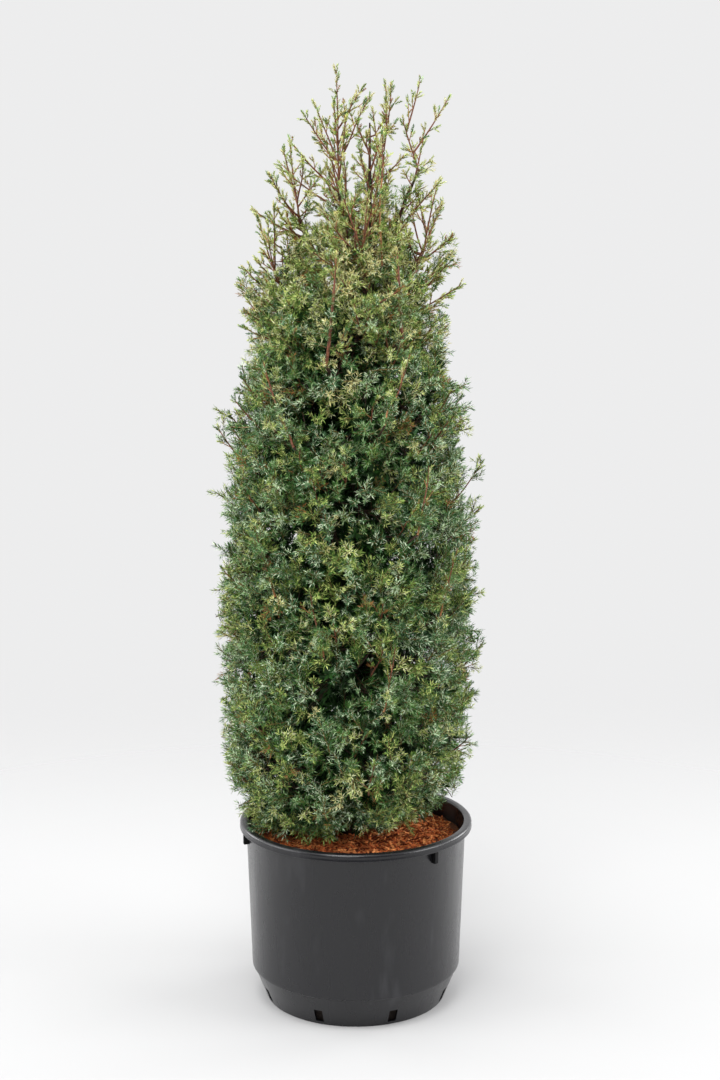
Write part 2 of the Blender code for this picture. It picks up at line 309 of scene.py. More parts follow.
# Ascending shoots: bare share of their foot, radius there, length of their side shoots
Shoot = namedtuple("Shoot", "bare_share radius side_length")
PLUME_SHOOT = Shoot(0.10, 0.0013, 0.027)
DRESS_SHOOT = Shoot(0.18, 0.0011, 0.020)
CONE_SHOOT = Shoot(0.10, 0.0015, 0.026)
TUFT_SHOOT = Shoot(0.10, 0.0011, 0.022)
RISING_SHOOT = Shoot(0.10, 0.0014, 0.022)

# All ascending shoots: sway, radius at the tip, sides, bend, and the corner where buds begin
SHOOT_SWAY = 0.05
SECOND_SWAY = 0.5
SWAY_ASIDE = 0.6
SHOOT_TIP_RADIUS = 0.0006
SHOOT_SIDES = 4
SHOOT_BEND = 0.12
SHOOT_SIGHT = 0.08
BUDDED_FROM = 4

# Side shoots of a shoot: least number, place, turn, lean, length, and the least length of one
LEAST_STEPS = 3
STEP_PLACE = (0.3, 0.7)
STEP_TURN = (-0.6, 0.6)
STEP_LEAN_DEG = (30, 50)
STEP_FULL = 1.10
STEP_SIZE = (0.6, 1.3)
LEAST_SIDE_SHOOT = 0.010

# Buds on a thin shoot: turn between two, their place, leans, and how far the last one sits back
BUD_TURN = 2.1
BUD_STRAY = (-0.5, 0.5)
BUD_PLACE = (0.2, 0.8)
BUD_SIGHT = 0.1
BUD_LEANS = (20, 45)
LEADING_BUD_LEANS = (10, 30)
SLEEVE_LEANS = (30, 60)
LAST_BUD_BACK = 0.004

# Tips of the tall plumes, and number of shoots in the others
TALL_TIPS = {
    "left_tall": ((-0.024, -0.004, 1.222), (0.008, -0.012, 1.198), (-0.004, 0.010, 1.186),
                  (-0.027, -0.022, 1.182), (-0.051, 0.004, 1.180), (-0.064, -0.010, 1.166),
                  (0.018, -0.018, 1.188), (-0.045, 0.022, 1.150), (-0.012, -0.034, 1.160)),
    "centre": ((0.038, 0.014, 1.204), (0.045, 0.004, 1.200), (0.022, 0.026, 1.172)),
    "right_tall": ((0.060, -0.002, 1.160), (0.081, -0.002, 1.208), (0.116, 0.002, 1.186),
                   (0.086, 0.012, 1.138)),
}
PLUMES = ("left_tall", "centre", "right_tall", "left_low", "right_low", "far_left", "front", "back")
SHOOTS = {"left_low": 5, "right_low": 5, "far_left": 4, "front": 5, "back": 6}
PLUME_RISE = (0.045, 0.080)
PLUME_TURN = (-0.3, 0.3)
PLUME_FAN = 1.1
PLUME_FLAT = (1.25, 0.70)
PLUME_STEEP = (0.20, 1.1)

# Stretches of stem that show in the crown's face: from, to and radius
SHOWN_STEMS = (
    ((-0.076, -0.134, 0.762), (-0.098, -0.120, 0.815), 0.0019),
    ((-0.036, -0.126, 0.862), (-0.028, -0.117, 0.938), 0.0026),
    ((0.057, -0.104, 0.893), (0.054, -0.096, 0.943), 0.0030),
    ((0.004, -0.110, 0.922), (0.040, -0.100, 0.943), 0.0018),
    ((0.035, -0.152, 0.791), (0.050, -0.144, 0.826), 0.0015),
    ((0.033, -0.062, 0.981), (0.033, -0.050, 1.088), 0.0016),
    ((-0.100, -0.134, 0.575), (-0.112, -0.124, 0.610), 0.0015),
    ((0.076, -0.146, 0.655), (0.082, -0.138, 0.685), 0.0014),
    ((0.034, -0.166, 0.435), (0.040, -0.162, 0.462), 0.0014),
    ((-0.040, -0.164, 0.505), (-0.046, -0.158, 0.530), 0.0014),
    ((0.105, -0.120, 0.545), (0.116, -0.110, 0.580), 0.0014),
)

# The same stretches: radius from which they are red, root inside, sway, radii, sprays and tip
THICK_STEM = 0.0017
STEM_ROOT_SHARE = 0.35
STEM_ROOT_DROP = 0.050
STEM_SIDES = 6
STEM_SWAY = 0.006
STEM_TAPER = (1.1, 0.9, 0.7)
STEM_SPRAYS = (0.05, 1.0, 0.11)
STEM_SPRAY_SIZE = (0.6, 0.9)
STEM_TIP = 0.055
STEM_BARE_SHARE = 0.05
STEM_SIDE_LENGTH = 0.024
STEM_TIP_RISE = 0.3

# Pointed tufts that stand out of the crown's sides: number, span, reach beyond the outline, length
TUFTS = 42
TUFT_SPAN = (0.420, 0.960)
TUFT_PROUD = (-0.004, 0.013)
TUFT_LENGTH = (0.040, 0.065)
TUFT_TURN = (-0.3, 0.3)
TUFT_OUT = (0.7, 1.1)

# Limbs that bear side branches below their plumes: from and to a height, and the branches' length
DRESSED = (("trunk", 0.900, 1.145, 0.060), ("leader_left_tall", 0.940, 1.040, 0.056),
           ("leader_centre", 0.930, 1.060, 0.044), ("leader_right_tall", 0.900, 1.115, 0.050),
           ("leader_left_low", 0.900, 1.060, 0.044), ("leader_right_low", 0.880, 0.980, 0.046),
           ("leader_front", 0.900, 0.990, 0.050), ("leader_back", 0.900, 0.990, 0.050),
           ("leader_far_left", 0.860, 0.960, 0.040))
DRESS_STEP = 0.030
DRESS_TURN = (-0.5, 0.5)
DRESS_RISE = (0.45, 1.0)
DRESS_SIZE = (0.6, 1.2)
DRESS_TAPER = 0.4
SLEEVE_ABOVE = 0.98
SLEEVE_LEAST = 0.03
SLEEVE_STEP = 0.0110
SLEEVE_CORNERS = 8

# Sprays close round the limbs of the top: step, span, distance and where they thin out
HEART_STEP = 0.0055
HEART_SPAN = (0.880, 1.090)
HEART_REACH = (0.008, 0.042)
HEART_OPEN = 1.070
HEART_FADE = 0.160
HEART_RISE = 0.7
HEART_LIGHT = (0.2, 0.8)

# Side branches that fill the cone of the top: number, span, rise from limb to tip, reach, turn
CONE_BRANCHES = 112
CONE_SPAN = (0.900, 1.120)
CONE_RISE = (0.028, 0.075)
CONE_REACH = (0.60, 1.32)
CONE_WIDEST = 0.136
CONE_LEAN = 0.035
CONE_LEAN_COST = 3
CONE_TURN = (-0.4, 0.4)
CONE_CROWDING = 1.9
CONE_BUSHY_BELOW = 0.995
CONE_BUSHY_FADE = 0.160

# Tips that stand out on the sides of the cone
CONE_TIPS = ((-0.078, -0.02, 1.129), (-0.094, 0.01, 1.100), (-0.107, -0.03, 1.092), (-0.128, 0.00, 1.048),
             (-0.096, -0.04, 1.047), (0.105, -0.01, 1.083), (0.109, 0.02, 1.052), (0.119, -0.02, 1.013),
             (0.123, 0.01, 0.991), (-0.140, -0.02, 0.975), (-0.146, 0.01, 0.955), (0.132, -0.03, 0.955),
             (0.001, 0.004, 1.158), (0.034, -0.008, 1.146), (0.004, -0.012, 1.128), (0.030, 0.010, 1.118),
             (-0.100, -0.030, 1.000), (-0.108, 0.020, 1.010), (-0.086, -0.010, 1.030))

# Steps between side shoots and between buds
SIDE_SHOOT_STEP = 0.0165
BUD_STEP = 0.0066
LONG_BUD_STEP = 0.0095
LEADING_BUD_STEP = 0.0048

# Longer shoots of the ring masses: number, length, side and rise of their way out, lean, proudness
RISING_SHOOTS = 4
RISING_LENGTH = (0.035, 0.075)
RISING_SIDE = (-0.9, 0.9)
RISING_RISE = (0.1, 1.3)
RISING_LEAN = (0.80, 1.30)
RISING_STRAY = 0.12
RISING_PROUD = 0.006

# Plain tints of the needles. The darkest is painted shade, for sprays deep in the crown and for the coarse
# sprays that fill its inside.
TINTS = {
    "needles_shade": (0.009, 0.034, 0.005),
    "needles_deep": (0.019, 0.067, 0.010),
    "needles_green": (0.060, 0.164, 0.031),
    "needles_blue": (0.088, 0.204, 0.086),
    "needles_olive": (0.190, 0.300, 0.062),
    "needles_grey": (0.300, 0.450, 0.210),
    "needles_fresh": (0.520, 0.600, 0.190),
    "needles_young": (0.620, 0.580, 0.240),
    "needles_pale": (0.620, 0.750, 0.510),
    "needles_cream": (0.680, 0.700, 0.400),
    "needles_dry": (0.340, 0.155, 0.050),
}

# Tint of the pale needles among those of each tint, and their share. They show the pale band of a needle's
# upper side, and they are also painted glints.
PALE_TINTS = {
    "needles_shade": "needles_deep",
    "needles_deep": "needles_green",
    "needles_green": "needles_grey",
    "needles_blue": "needles_pale",
    "needles_olive": "needles_fresh",
    "needles_grey": "needles_pale",
    "needles_fresh": "needles_cream",
    "needles_young": "needles_cream",
    "needles_dry": "needles_olive",
}
PALE_SHARE = 0.28

# Tints of the sprays by their painted light: dark feet of painted shade for sprays deep in the crown, feet
# further out, and tips low and high in the crown
DARK_LIGHT = 0.15
DARK_FEET = ("needles_shade", "needles_dry")
DARK_SHARES = (0.88, 0.12)
HIGH_FROM = 0.80
HIGH_FADE = 0.20
FOOT_TINTS = ("needles_deep", "needles_green", "needles_blue", "needles_olive")
FOOT_SHARES = (0.42, 0.32, 0.20, 0.06)
FOOT_CHANGES = (-0.30, 0.0, -0.15, 0.45)
TIP_TINTS = ("needles_green", "needles_blue", "needles_olive", "needles_grey", "needles_fresh",
             "needles_young", "needles_dry")
LOW_SHARES = (0.31, 0.22, 0.22, 0.10, 0.11, 0.01, 0.03)
HIGH_SHARES = (0.05, 0.02, 0.27, 0.06, 0.27, 0.26, 0.07)

# Colours of the twigs, and of the thin stems inside a spray
TWIG_COLOURS = {
    "twigs_brown": (0.050, 0.026, 0.015),
    "twigs_red": (0.185, 0.066, 0.032),
    "twigs_orange": (0.360, 0.165, 0.062),
}
STEM_COLOUR = (0.210, 0.140, 0.045)

# Pot: wall, radii of its top, band and foot, and heights of its band, flange and rolled hem
POT_WALL = 0.0030
POT_TOP_RADIUS = 0.1472
POT_BAND_RADIUS = 0.1400
POT_FOOT_RADIUS = 0.1210
POT_BAND_HEIGHT = 0.0460
FLANGE_BELOW_LIP = 0.0055
HEM_BELOW_LIP = 0.0100
POT_TURN_STEPS = 160
POT_SHARP_DEG = 32

# Lugs under the flange
LUG_COUNT = 3
LUG_FIRST_DEG = 43.0
LUG_WIDTH = 0.0060
LUG_HEIGHT = 0.0210
LUG_REACH = 0.0058
LUG_ROOT = 0.0020
LUG_ROUND = 0.0004

# Drain slots at the foot
DRAIN_COUNT = 8
DRAIN_FIRST_DEG = 22.5
DRAIN_WIDTH = 0.0115
DRAIN_LOW = 0.0045
DRAIN_HIGH = 0.0225
DRAIN_INNER = 0.012
DRAIN_OUTER = 0.010

# Corners closer than this are one
MERGE = 0.00002

# Bark: longest edge and relief on the trunk and on the limbs, and how limbs thin towards the top
TRUNK_BARK = (0.009, 0.0011)
LIMB_BARK = (0.008, 0.0006)
BARK_ROUNDS = 4
BARK_SMOOTHING = 0.4
BARK_GRAIN = (190, 190, 26)
THIN_ABOVE = 1.02
THIN_FADE = 0.12
THIN_SHARE = 0.50

# Mulch bed: clearance from the pot, heights, rings and the lumps of its surface
BED_CLEARANCE = 0.0006
BED_EDGE = 0.2215
BED_FLAT = 0.03
BED_SLOPE = 0.11
BED_POWER = 1.2
BED_SINK = 0.0015
BED_LUMP = 0.0022
BED_COARSE = (70, 3.1)
BED_FINE = (190, 8.2)
BED_FINE_SHARE = 0.6
BED_RINGS = 34
BED_AROUND = 120
BED_COLOUR = (0.160, 0.060, 0.028)

# Chips of bark: shapes, number, colours and shares, distance from the edge, and how they lie
CHIP_KINDS = 6
CHIP_LENGTH = (0.009, 0.020)
CHIP_WIDTH = (0.0015, 0.0042)
CHIP_THICKNESS = (0.0008, 0.0018)
CHIP_RINGS = (-0.5, -0.15, 0.2, 0.5)
CHIP_CORNERS = ((-0.5, -0.5), (0.5, -0.5), (0.5, 0.5), (-0.5, 0.5))
CHIP_NARROWING = 1.2
CHIP_POWER = 1.5
CHIP_RAGGED = (-0.15, 0.15)
CHIP_BEND = 0.12
CHIP_END_STRAY = 0.0006
CHIP_COUNT = 4200
CHIP_INSET = 0.010
CHIP_LIFT = 0.0012
CHIP_TILT = 0.35
CHIP_SIZE = (0.6, 1.2)
CHIP_COLOURS = (
    ("mulch_red", (0.560, 0.150, 0.045), 0.46),
    ("mulch_orange", (0.800, 0.300, 0.100), 0.30),
    ("mulch_dark", (0.200, 0.050, 0.020), 0.24),
)

# Potting mix of the root ball
SOIL_COLOUR = (0.014, 0.010, 0.008)

# Studio: the white that the camera sees, the light round the plant and from the camera's side
STUDIO_WALL = (0.847, 0.847, 0.850)
STUDIO_LIGHT = (0.95, 0.95, 0.96)
STUDIO_DIM = (0.12, 0.12, 0.13)
STUDIO_TURN = (0.35, 0.80)
FLOOR_COLOUR = (0.548, 0.548, 0.548)
FLOOR_SIZE = 12.0
FLOOR_FADE = (0.25, 1.9)

# Soft boxes: place, target, size and power
LIGHTS = {
    "left_softbox": ((-2.6, -0.5, 1.4), (0, 0, 0.6), 1.6, 36.0),
    "right_softbox": ((2.6, -0.7, 1.4), (0, 0, 0.6), 1.6, 46.0),
    "top_softbox": ((-0.4, -1.2, 3.2), (0, 0, 0.7), 1.4, 50.0),
    "front_softbox": ((-0.8, -3.0, 2.4), (0, 0, 0.7), 1.6, 35.0),
    "back_right_softbox": ((2.3, 1.3, 1.0), (0, 0, 0.4), 1.2, 30.0),
    "back_left_softbox": ((-2.3, 1.3, 1.0), (0, 0, 0.4), 1.2, 21.0),
}

# Camera, fitted to the photograph
FRAME_HEIGHT_PX = 1080
FOCAL_PX = 1900
SENSOR_MM = 36.0
CAMERA_PLACE = (0.0, -2.4503, 1.0545)
CAMERA_PITCH_DEG = 9.979
CAMERA_YAW_DEG = 0.132


# Shared helpers

def linked(name, data):
    """A new object at the origin that holds some data."""
    made = bpy.data.objects.new(name, data)
    bpy.context.scene.collection.objects.link(made)
    return made


def mesh_data(name, vertices, faces):
    mesh = bpy.data.meshes.new(name)
    mesh.from_pydata([tuple(v) for v in vertices], [], [tuple(f) for f in faces])
    return mesh


def mesh_object(name, vertices, faces, material):
    """A smooth object of one material from corners and faces."""
    mesh = mesh_data(name, vertices, faces)
    mesh.update()
    mesh.shade_smooth()
    mesh.materials.append(material)
    return linked(name, mesh)


def bmesh_object(name, bm):
    """An object from an edit mesh, which ends here."""
    mesh = bpy.data.meshes.new(name)
    bm.to_mesh(mesh)
    bm.free()
    return linked(name, mesh)


def plain_mesh(made, name):
    """The evaluated shape of an object as a plain mesh object, in place of the first one."""
    graph = bpy.context.evaluated_depsgraph_get()
    mesh = bpy.data.meshes.new_from_object(made.evaluated_get(graph), depsgraph=graph)
    mesh.name = name
    bpy.data.objects.remove(made, do_unlink=True)
    return linked(name, mesh)


def wear(piece, slot, *replaced):
    """Makes a finished piece ride on the pot's body and hides the nodes it stands for. The slot is not
    used.
    """
    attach(piece, "root")
    if replaced:
        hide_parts(*replaced)


def append_shape(target, shape):
    """Adds one shape's corners and faces to those of another."""
    vertices, faces = shape
    offset = len(target[0])
    target[0].extend(vertices)
    target[1].extend(tuple(i + offset for i in face) for face in faces)


def unit(vectors):
    return vectors / np.linalg.norm(vectors, axis=-1, keepdims=True)


def level(turn):
    """The level direction at a turn about the vertical."""
    return np.array((math.cos(turn), math.sin(turn), 0.0))


def frame_of(direction):
    """Two unit vectors across a direction."""
    helper = UP if abs(direction[2]) < STEEP else np.array((1.0, 0.0, 0.0))
    across = unit(np.cross(direction, helper))
    return across, np.cross(direction, across)


def across_at(direction, turn):
    """The unit vector across a direction at a turn about it."""
    across, third = frame_of(direction)
    return math.cos(turn) * across + math.sin(turn) * third


def leaning(direction, turn, lean):
    """The unit vector that leans off a direction at a turn about it."""
    return math.cos(lean) * direction + math.sin(lean) * across_at(direction, turn)


def at_height(line, height):
    """The point of a rising line at a height, or its points at several."""
    return np.stack([np.interp(height, line[:, 2], line[:, i]) for i in range(3)], axis=-1)


def nearest(points, place):
    return points[np.argmin(np.linalg.norm(points - place, axis=1))]


# Materials

def new_material(name, colour, roughness, specular):
    material = bpy.data.materials.new(name)
    material.use_nodes = True
    shader = material.node_tree.nodes["Principled BSDF"]
    shader.inputs["Base Color"].default_value = (*colour, 1.0)
    shader.inputs["Roughness"].default_value = roughness
    shader.inputs["Specular IOR Level"].default_value = specular
    return material, material.node_tree, shader


def noise_node(tree, scale, detail, stretch=(1.0, 1.0, 1.0)):
    """Noise on Object coordinates, stretched along the axes."""
    place = tree.nodes.new("ShaderNodeTexCoord")
    mapping = tree.nodes.new("ShaderNodeMapping")
    mapping.inputs["Scale"].default_value = stretch
    pattern = tree.nodes.new("ShaderNodeTexNoise")
    pattern.inputs["Scale"].default_value = scale
    pattern.inputs["Detail"].default_value = detail
    tree.links.new(place.outputs["Object"], mapping.inputs["Vector"])
    tree.links.new(mapping.outputs["Vector"], pattern.inputs["Vector"])
    return pattern.outputs["Fac"]


def ramp_node(tree, factor, stops):
    """Colours along a factor, from (position, colour) stops. A plain number stands for a grey."""
    ramp = tree.nodes.new("ShaderNodeValToRGB")
    steps = ramp.color_ramp.elements
    for position, _ in stops[1:-1]:
        steps.new(position)
    for step, (position, colour) in zip(steps, stops):
        step.position = position
        step.color = (*(colour if isinstance(colour, tuple) else (colour,) * 3), 1.0)
    tree.links.new(factor, ramp.inputs["Fac"])
    return ramp.outputs["Color"]


def bump_node(tree, shader, height, strength, distance):
    bump = tree.nodes.new("ShaderNodeBump")
    bump.inputs["Strength"].default_value = strength
    bump.inputs["Distance"].default_value = distance
    tree.links.new(height, bump.inputs["Height"])
    tree.links.new(bump.outputs["Normal"], shader.inputs["Normal"])


Mottle = namedtuple("Mottle", "scale detail dark light low high")
NEEDLE_MOTTLE = Mottle(scale=55.0, detail=2.0, dark=0.80, light=1.20, low=0.35, high=0.65)
TWIG_MOTTLE = Mottle(scale=420.0, detail=2.0, dark=0.55, light=1.25, low=0.38, high=0.62)
MULCH_MOTTLE = Mottle(scale=300.0, detail=4.0, dark=0.45, light=1.35, low=0.32, high=0.68)


def mottled_material(name, colour, mottle, roughness, specular):
    """A colour that turns darker and lighter with a noise, and that noise."""
    material, tree, shader = new_material(name, colour, roughness, specular)
    pattern = noise_node(tree, mottle.scale, mottle.detail)
    dark = tuple(mottle.dark * c for c in colour)
    light = tuple(mottle.light * c for c in colour)
    tints = ramp_node(tree, pattern, ((mottle.low, dark), (mottle.high, light)))
    tree.links.new(tints, shader.inputs["Base Color"])
    return material, tree, shader, pattern


def needle_material(name, colour):
    """Needles of one tint, a little lighter and darker along the crown."""
    material, tree, shader, _ = mottled_material(name, colour, NEEDLE_MOTTLE,
                                                 roughness=0.45, specular=0.24)
    sheen = noise_node(tree, scale=160.0, detail=1.0)
    tree.links.new(ramp_node(tree, sheen, ((0.3, 0.36), (0.7, 0.56))), shader.inputs["Roughness"])
    return material


def twig_material(name, colour):
    """Young bark of one colour with darker leaf scars."""
    material, tree, shader, scars = mottled_material(name, colour, TWIG_MOTTLE,
                                                     roughness=0.62, specular=0.35)
    bump_node(tree, shader, scars, strength=0.4, distance=0.0005)
    return material


def mulch_material(name, colour):
    """Dry shredded bark of one colour, fibrous and mottled."""
    material, tree, shader, fibre = mottled_material(name, colour, MULCH_MOTTLE,
                                                     roughness=0.92, specular=0.15)
    bump_node(tree, shader, fibre, strength=0.6, distance=0.0010)
    return material


def bark_material():
    """Red-brown bark in grey shredding strips."""
    material, tree, shader = new_material("shredding_bark", (0.19, 0.075, 0.045),
                                          roughness=0.85, specular=0.25)
    strips = noise_node(tree, scale=260.0, detail=5.0, stretch=(1.0, 1.0, 0.12))
    colours = ((0.30, (0.014, 0.008, 0.007)), (0.48, (0.040, 0.018, 0.012)),
               (0.62, (0.100, 0.044, 0.028)), (0.78, (0.190, 0.130, 0.100)))
    tree.links.new(ramp_node(tree, strips, colours), shader.inputs["Base Color"])
    bump_node(tree, shader, strips, strength=0.7, distance=0.0012)
    return material


def lug_material():
    """The pot's plastic made blacker as painted shade, on the small ribs in the rim's shadow."""
    return new_material("black_lug_plastic", (0.0025, 0.0025, 0.0030), roughness=0.55, specular=0.20)[0]


def pot_material():
    """Black moulded plastic with a fine grain, faint scuffs and a duller sheen where it is scuffed."""
    material, tree, shader = new_material("black_pot_plastic", (0.008, 0.008, 0.010),
                                          roughness=0.34, specular=0.50)
    grain = noise_node(tree, scale=900.0, detail=2.0)
    scuffs = noise_node(tree, scale=42.0, detail=8.0, stretch=(1.0, 1.0, 0.25))
    tints = ((0.0, (0.007, 0.007, 0.009)), (0.60, (0.008, 0.008, 0.010)), (0.74, (0.022, 0.022, 0.025)))
    tree.links.new(ramp_node(tree, scuffs, tints), shader.inputs["Base Color"])
    tree.links.new(ramp_node(tree, scuffs, ((0.35, 0.22), (0.75, 0.36))), shader.inputs["Roughness"])
    bump_node(tree, shader, grain, strength=0.12, distance=0.0004)
    return material


# Pot: a turned shell with a rolled lip, lugs under it and drain slots at the foot

def arc(centre, radius, start_deg, end_deg, steps):
    """Points along an arc in the (radius, height) plane."""
    turns = np.radians(np.linspace(start_deg, end_deg, steps))
    return [(centre[0] + radius * math.cos(t), centre[1] + radius * math.sin(t)) for t in turns]


def pot_profile(lip, height):
    """The pot's section as radius and height, from the middle of its foot round the lip and back inside."""
    top, band, foot = POT_TOP_RADIUS, POT_BAND_RADIUS, POT_FOOT_RADIUS
    step = POT_BAND_HEIGHT
    flange = height - FLANGE_BELOW_LIP
    hem = height - HEM_BELOW_LIP
    return [
        (0.0, 0.0020), (foot - 0.012, 0.0020), (foot - 0.009, 0.0), (foot - 0.0015, 0.0),
        *arc((foot - 0.0015, 0.0015), 0.0015, -90, -10, 4),
        (band - 0.0036, step - 0.0060), (band - 0.0022, step - 0.0028),
        (band - 0.0004, step - 0.0016), (band + 0.0001, step - 0.0002), (band + 0.0003, step + 0.0030),
        (top - 0.0003, flange - 0.0012), (top + 0.0004, flange),
        (lip - 0.0030, flange), (lip - 0.0026, flange - 0.0006), (lip - 0.0024, hem + 0.0004),
        *arc((lip - 0.0012, hem + 0.0010), 0.0012, -180, 0, 7),
        (lip - 0.0004, hem + 0.0024), (lip - 0.0005, height - 0.0048),
        *arc((lip - 0.0042, height - 0.0040), 0.0040, 0, 90, 8),
        *arc((lip - 0.0080, height - 0.0028), 0.0028, 90, 180, 6),
        (top - POT_WALL, height - 0.0100), (band - POT_WALL, step + 0.0010),
        (foot - 0.9 * POT_WALL, POT_WALL + 0.002), (0.0, POT_WALL + 0.002),
    ]


def turned(name, profile, steps):
    """A shell turned about the vertical from its profile."""
    bm = bmesh.new()
    points = [bm.verts.new((radius, 0.0, height)) for radius, height in profile]
    edges = [bm.edges.new(pair) for pair in zip(points, points[1:])]
    bmesh.ops.spin(bm, geom=points + edges, cent=(0, 0, 0), axis=(0, 0, 1), angle=math.tau, steps=steps)
    bmesh.ops.remove_doubles(bm, verts=bm.verts, dist=MERGE)
    bmesh.ops.recalc_face_normals(bm, faces=bm.faces)
    return bmesh_object(name, bm)


def blocks_round(first_deg, count, inner, outer, width, low, high):
    """Boxes that stand out from the axis at equal steps, from an azimuth that runs from the front to +X."""
    bm = bmesh.new()
    for k in range(count):
        made = bmesh.ops.create_cube(bm, size=1.0)["verts"]
        bmesh.ops.scale(bm, vec=(width, outer - inner, high - low), verts=made)
        bmesh.ops.translate(bm, vec=(0, -(outer + inner) / 2, (high + low) / 2), verts=made)
        turn = math.radians(first_deg + 360 / count * k)
        for vert in made:
            x, y = vert.co.x, vert.co.y
            vert.co.x = x * math.cos(turn) - y * math.sin(turn)
            vert.co.y = x * math.sin(turn) + y * math.cos(turn)
    return bm


def build_pot(material):
    _, (_, lip, height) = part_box("pot")
    pot = turned("pot_shell", pot_profile(lip, height), POT_TURN_STEPS)
    slots = blocks_round(DRAIN_FIRST_DEG, DRAIN_COUNT, POT_FOOT_RADIUS - DRAIN_INNER,
                         POT_BAND_RADIUS + DRAIN_OUTER, DRAIN_WIDTH, DRAIN_LOW, DRAIN_HIGH)
    cutter = bmesh_object("drain_cut", slots)
    cut = pot.modifiers.new("drains", "BOOLEAN")
    cut.operation = "DIFFERENCE"
    cut.object = cutter
    cut.solver = "EXACT"
    pot = plain_mesh(pot, "pot_shell")
    bpy.data.objects.remove(cutter, do_unlink=True)
    pot.data.shade_smooth()
    pot.data.set_sharp_from_angle(angle=math.radians(POT_SHARP_DEG))
    pot.data.materials.clear()
    pot.data.materials.append(material)
    wear(pot, "pot_plastic", "pot")

    flange = height - FLANGE_BELOW_LIP
    ribs = blocks_round(LUG_FIRST_DEG, LUG_COUNT, POT_TOP_RADIUS - LUG_ROOT, POT_TOP_RADIUS + LUG_REACH,
                        LUG_WIDTH, flange - LUG_HEIGHT, flange)
    bmesh.ops.bevel(ribs, geom=list(ribs.edges), offset=LUG_ROUND, segments=2, affect="EDGES")
    lugs = bmesh_object("pot_lugs", ribs)
    # The lugs are darker than the pot, as painted shade under the rim.
    lugs.data.materials.append(lug_material())
    wear(lugs, "pot_plastic")


# Geometry Nodes: one tree scatters shapes of a collection on points that carry their directions

POINT_ATTRIBUTES = (
    ("along", "FLOAT_VECTOR", "vector", np.float32),
    ("side", "FLOAT_VECTOR", "vector", np.float32),
    ("size", "FLOAT", "value", np.float32),
    ("shape", "INT", "value", np.int32),
)
SCATTER_INPUTS = (
    ("Points", "NodeSocketGeometry"),
    ("Shapes", "NodeSocketCollection"),
    ("Finish", "NodeSocketMaterial"),
)
SCATTER_SCALE = 1.0


def scatter_tree():
    """Instances on points, turned by the points' own axes, realized and given one material."""
    tree = bpy.data.node_groups.new("scatter_on_points", "GeometryNodeTree")
    face = tree.interface
    for name, kind in SCATTER_INPUTS:
        face.new_socket(name, in_out="INPUT", socket_type=kind)
    scale = face.new_socket("Scale", in_out="INPUT", socket_type="NodeSocketFloat")
    scale.default_value = SCATTER_SCALE
    face.new_socket("Mesh", in_out="OUTPUT", socket_type="NodeSocketGeometry")
    add = tree.nodes.new
    source, result = add("NodeGroupInput"), add("NodeGroupOutput")
    shapes = add("GeometryNodeCollectionInfo")
    shapes.inputs["Separate Children"].default_value = True
    shapes.inputs["Reset Children"].default_value = True
    spread = add("GeometryNodeInstanceOnPoints")
    spread.inputs["Pick Instance"].default_value = True
    turn = add("FunctionNodeAxesToRotation")
    turn.primary_axis = "Z"
    turn.secondary_axis = "X"
    size = add("ShaderNodeMath")
    size.operation = "MULTIPLY"
    realize, finish = add("GeometryNodeRealizeInstances"), add("GeometryNodeSetMaterial")
    reads = {}
    for attribute, kind, *_ in POINT_ATTRIBUTES:
        reader = add("GeometryNodeInputNamedAttribute")
        reader.data_type = kind
        reader.inputs["Name"].default_value = attribute
        reads[attribute] = reader.outputs["Attribute"]
    link = tree.links.new
    link(source.outputs["Points"], spread.inputs["Points"])
    link(source.outputs["Shapes"], shapes.inputs["Collection"])
    link(shapes.outputs["Instances"], spread.inputs["Instance"])
    link(reads["shape"], spread.inputs["Instance Index"])
    link(reads["along"], turn.inputs["Primary Axis"])
    link(reads["side"], turn.inputs["Secondary Axis"])
    link(turn.outputs["Rotation"], spread.inputs["Rotation"])
    link(reads["size"], size.inputs[0])
    link(source.outputs["Scale"], size.inputs[1])
    link(size.outputs["Value"], spread.inputs["Scale"])
    link(spread.outputs["Instances"], realize.inputs["Geometry"])
    link(realize.outputs["Geometry"], finish.inputs["Geometry"])
    link(source.outputs["Finish"], finish.inputs["Material"])
    link(finish.outputs["Geometry"], result.inputs["Mesh"])
    return tree


def scatter(name, tree, shapes, material, places, *columns):
    """A plain mesh with one of the collection's shapes at each place, by the points' own columns."""
    mesh = bpy.data.meshes.new(f"{name}_points")
    mesh.vertices.add(len(places))
    mesh.vertices.foreach_set("co", np.asarray(places, dtype=np.float32).ravel())
    for (attribute, kind, field, number), values in zip(POINT_ATTRIBUTES, columns):
        layer = mesh.attributes.new(attribute, kind, "POINT")
        layer.data.foreach_set(field, np.asarray(values, dtype=number).ravel())
    points = linked(f"{name}_points", mesh)
    change = points.modifiers.new("scatter", "NODES")
    change.node_group = tree
    sockets = {item.name: item.identifier for item in tree.interface.items_tree if item.in_out == "INPUT"}
    change[sockets["Shapes"]] = shapes
    change[sockets["Finish"]] = material
    change[sockets["Scale"]] = SCATTER_SCALE
    return plain_mesh(points, name)


def shape_collection(name, shapes):
    """Hidden shapes for the scatter, in the order of their names."""
    collection = bpy.data.collections.new(name)
    for k, shape in enumerate(shapes):
        mesh = mesh_data(f"{name}_{k:02d}", *shape)
        collection.objects.link(bpy.data.objects.new(mesh.name, mesh))
    return collection


def drop_collection(collection):
    for shape in list(collection.objects):
        bpy.data.objects.remove(shape, do_unlink=True)
    bpy.data.collections.remove(collection)


# Needle sprays

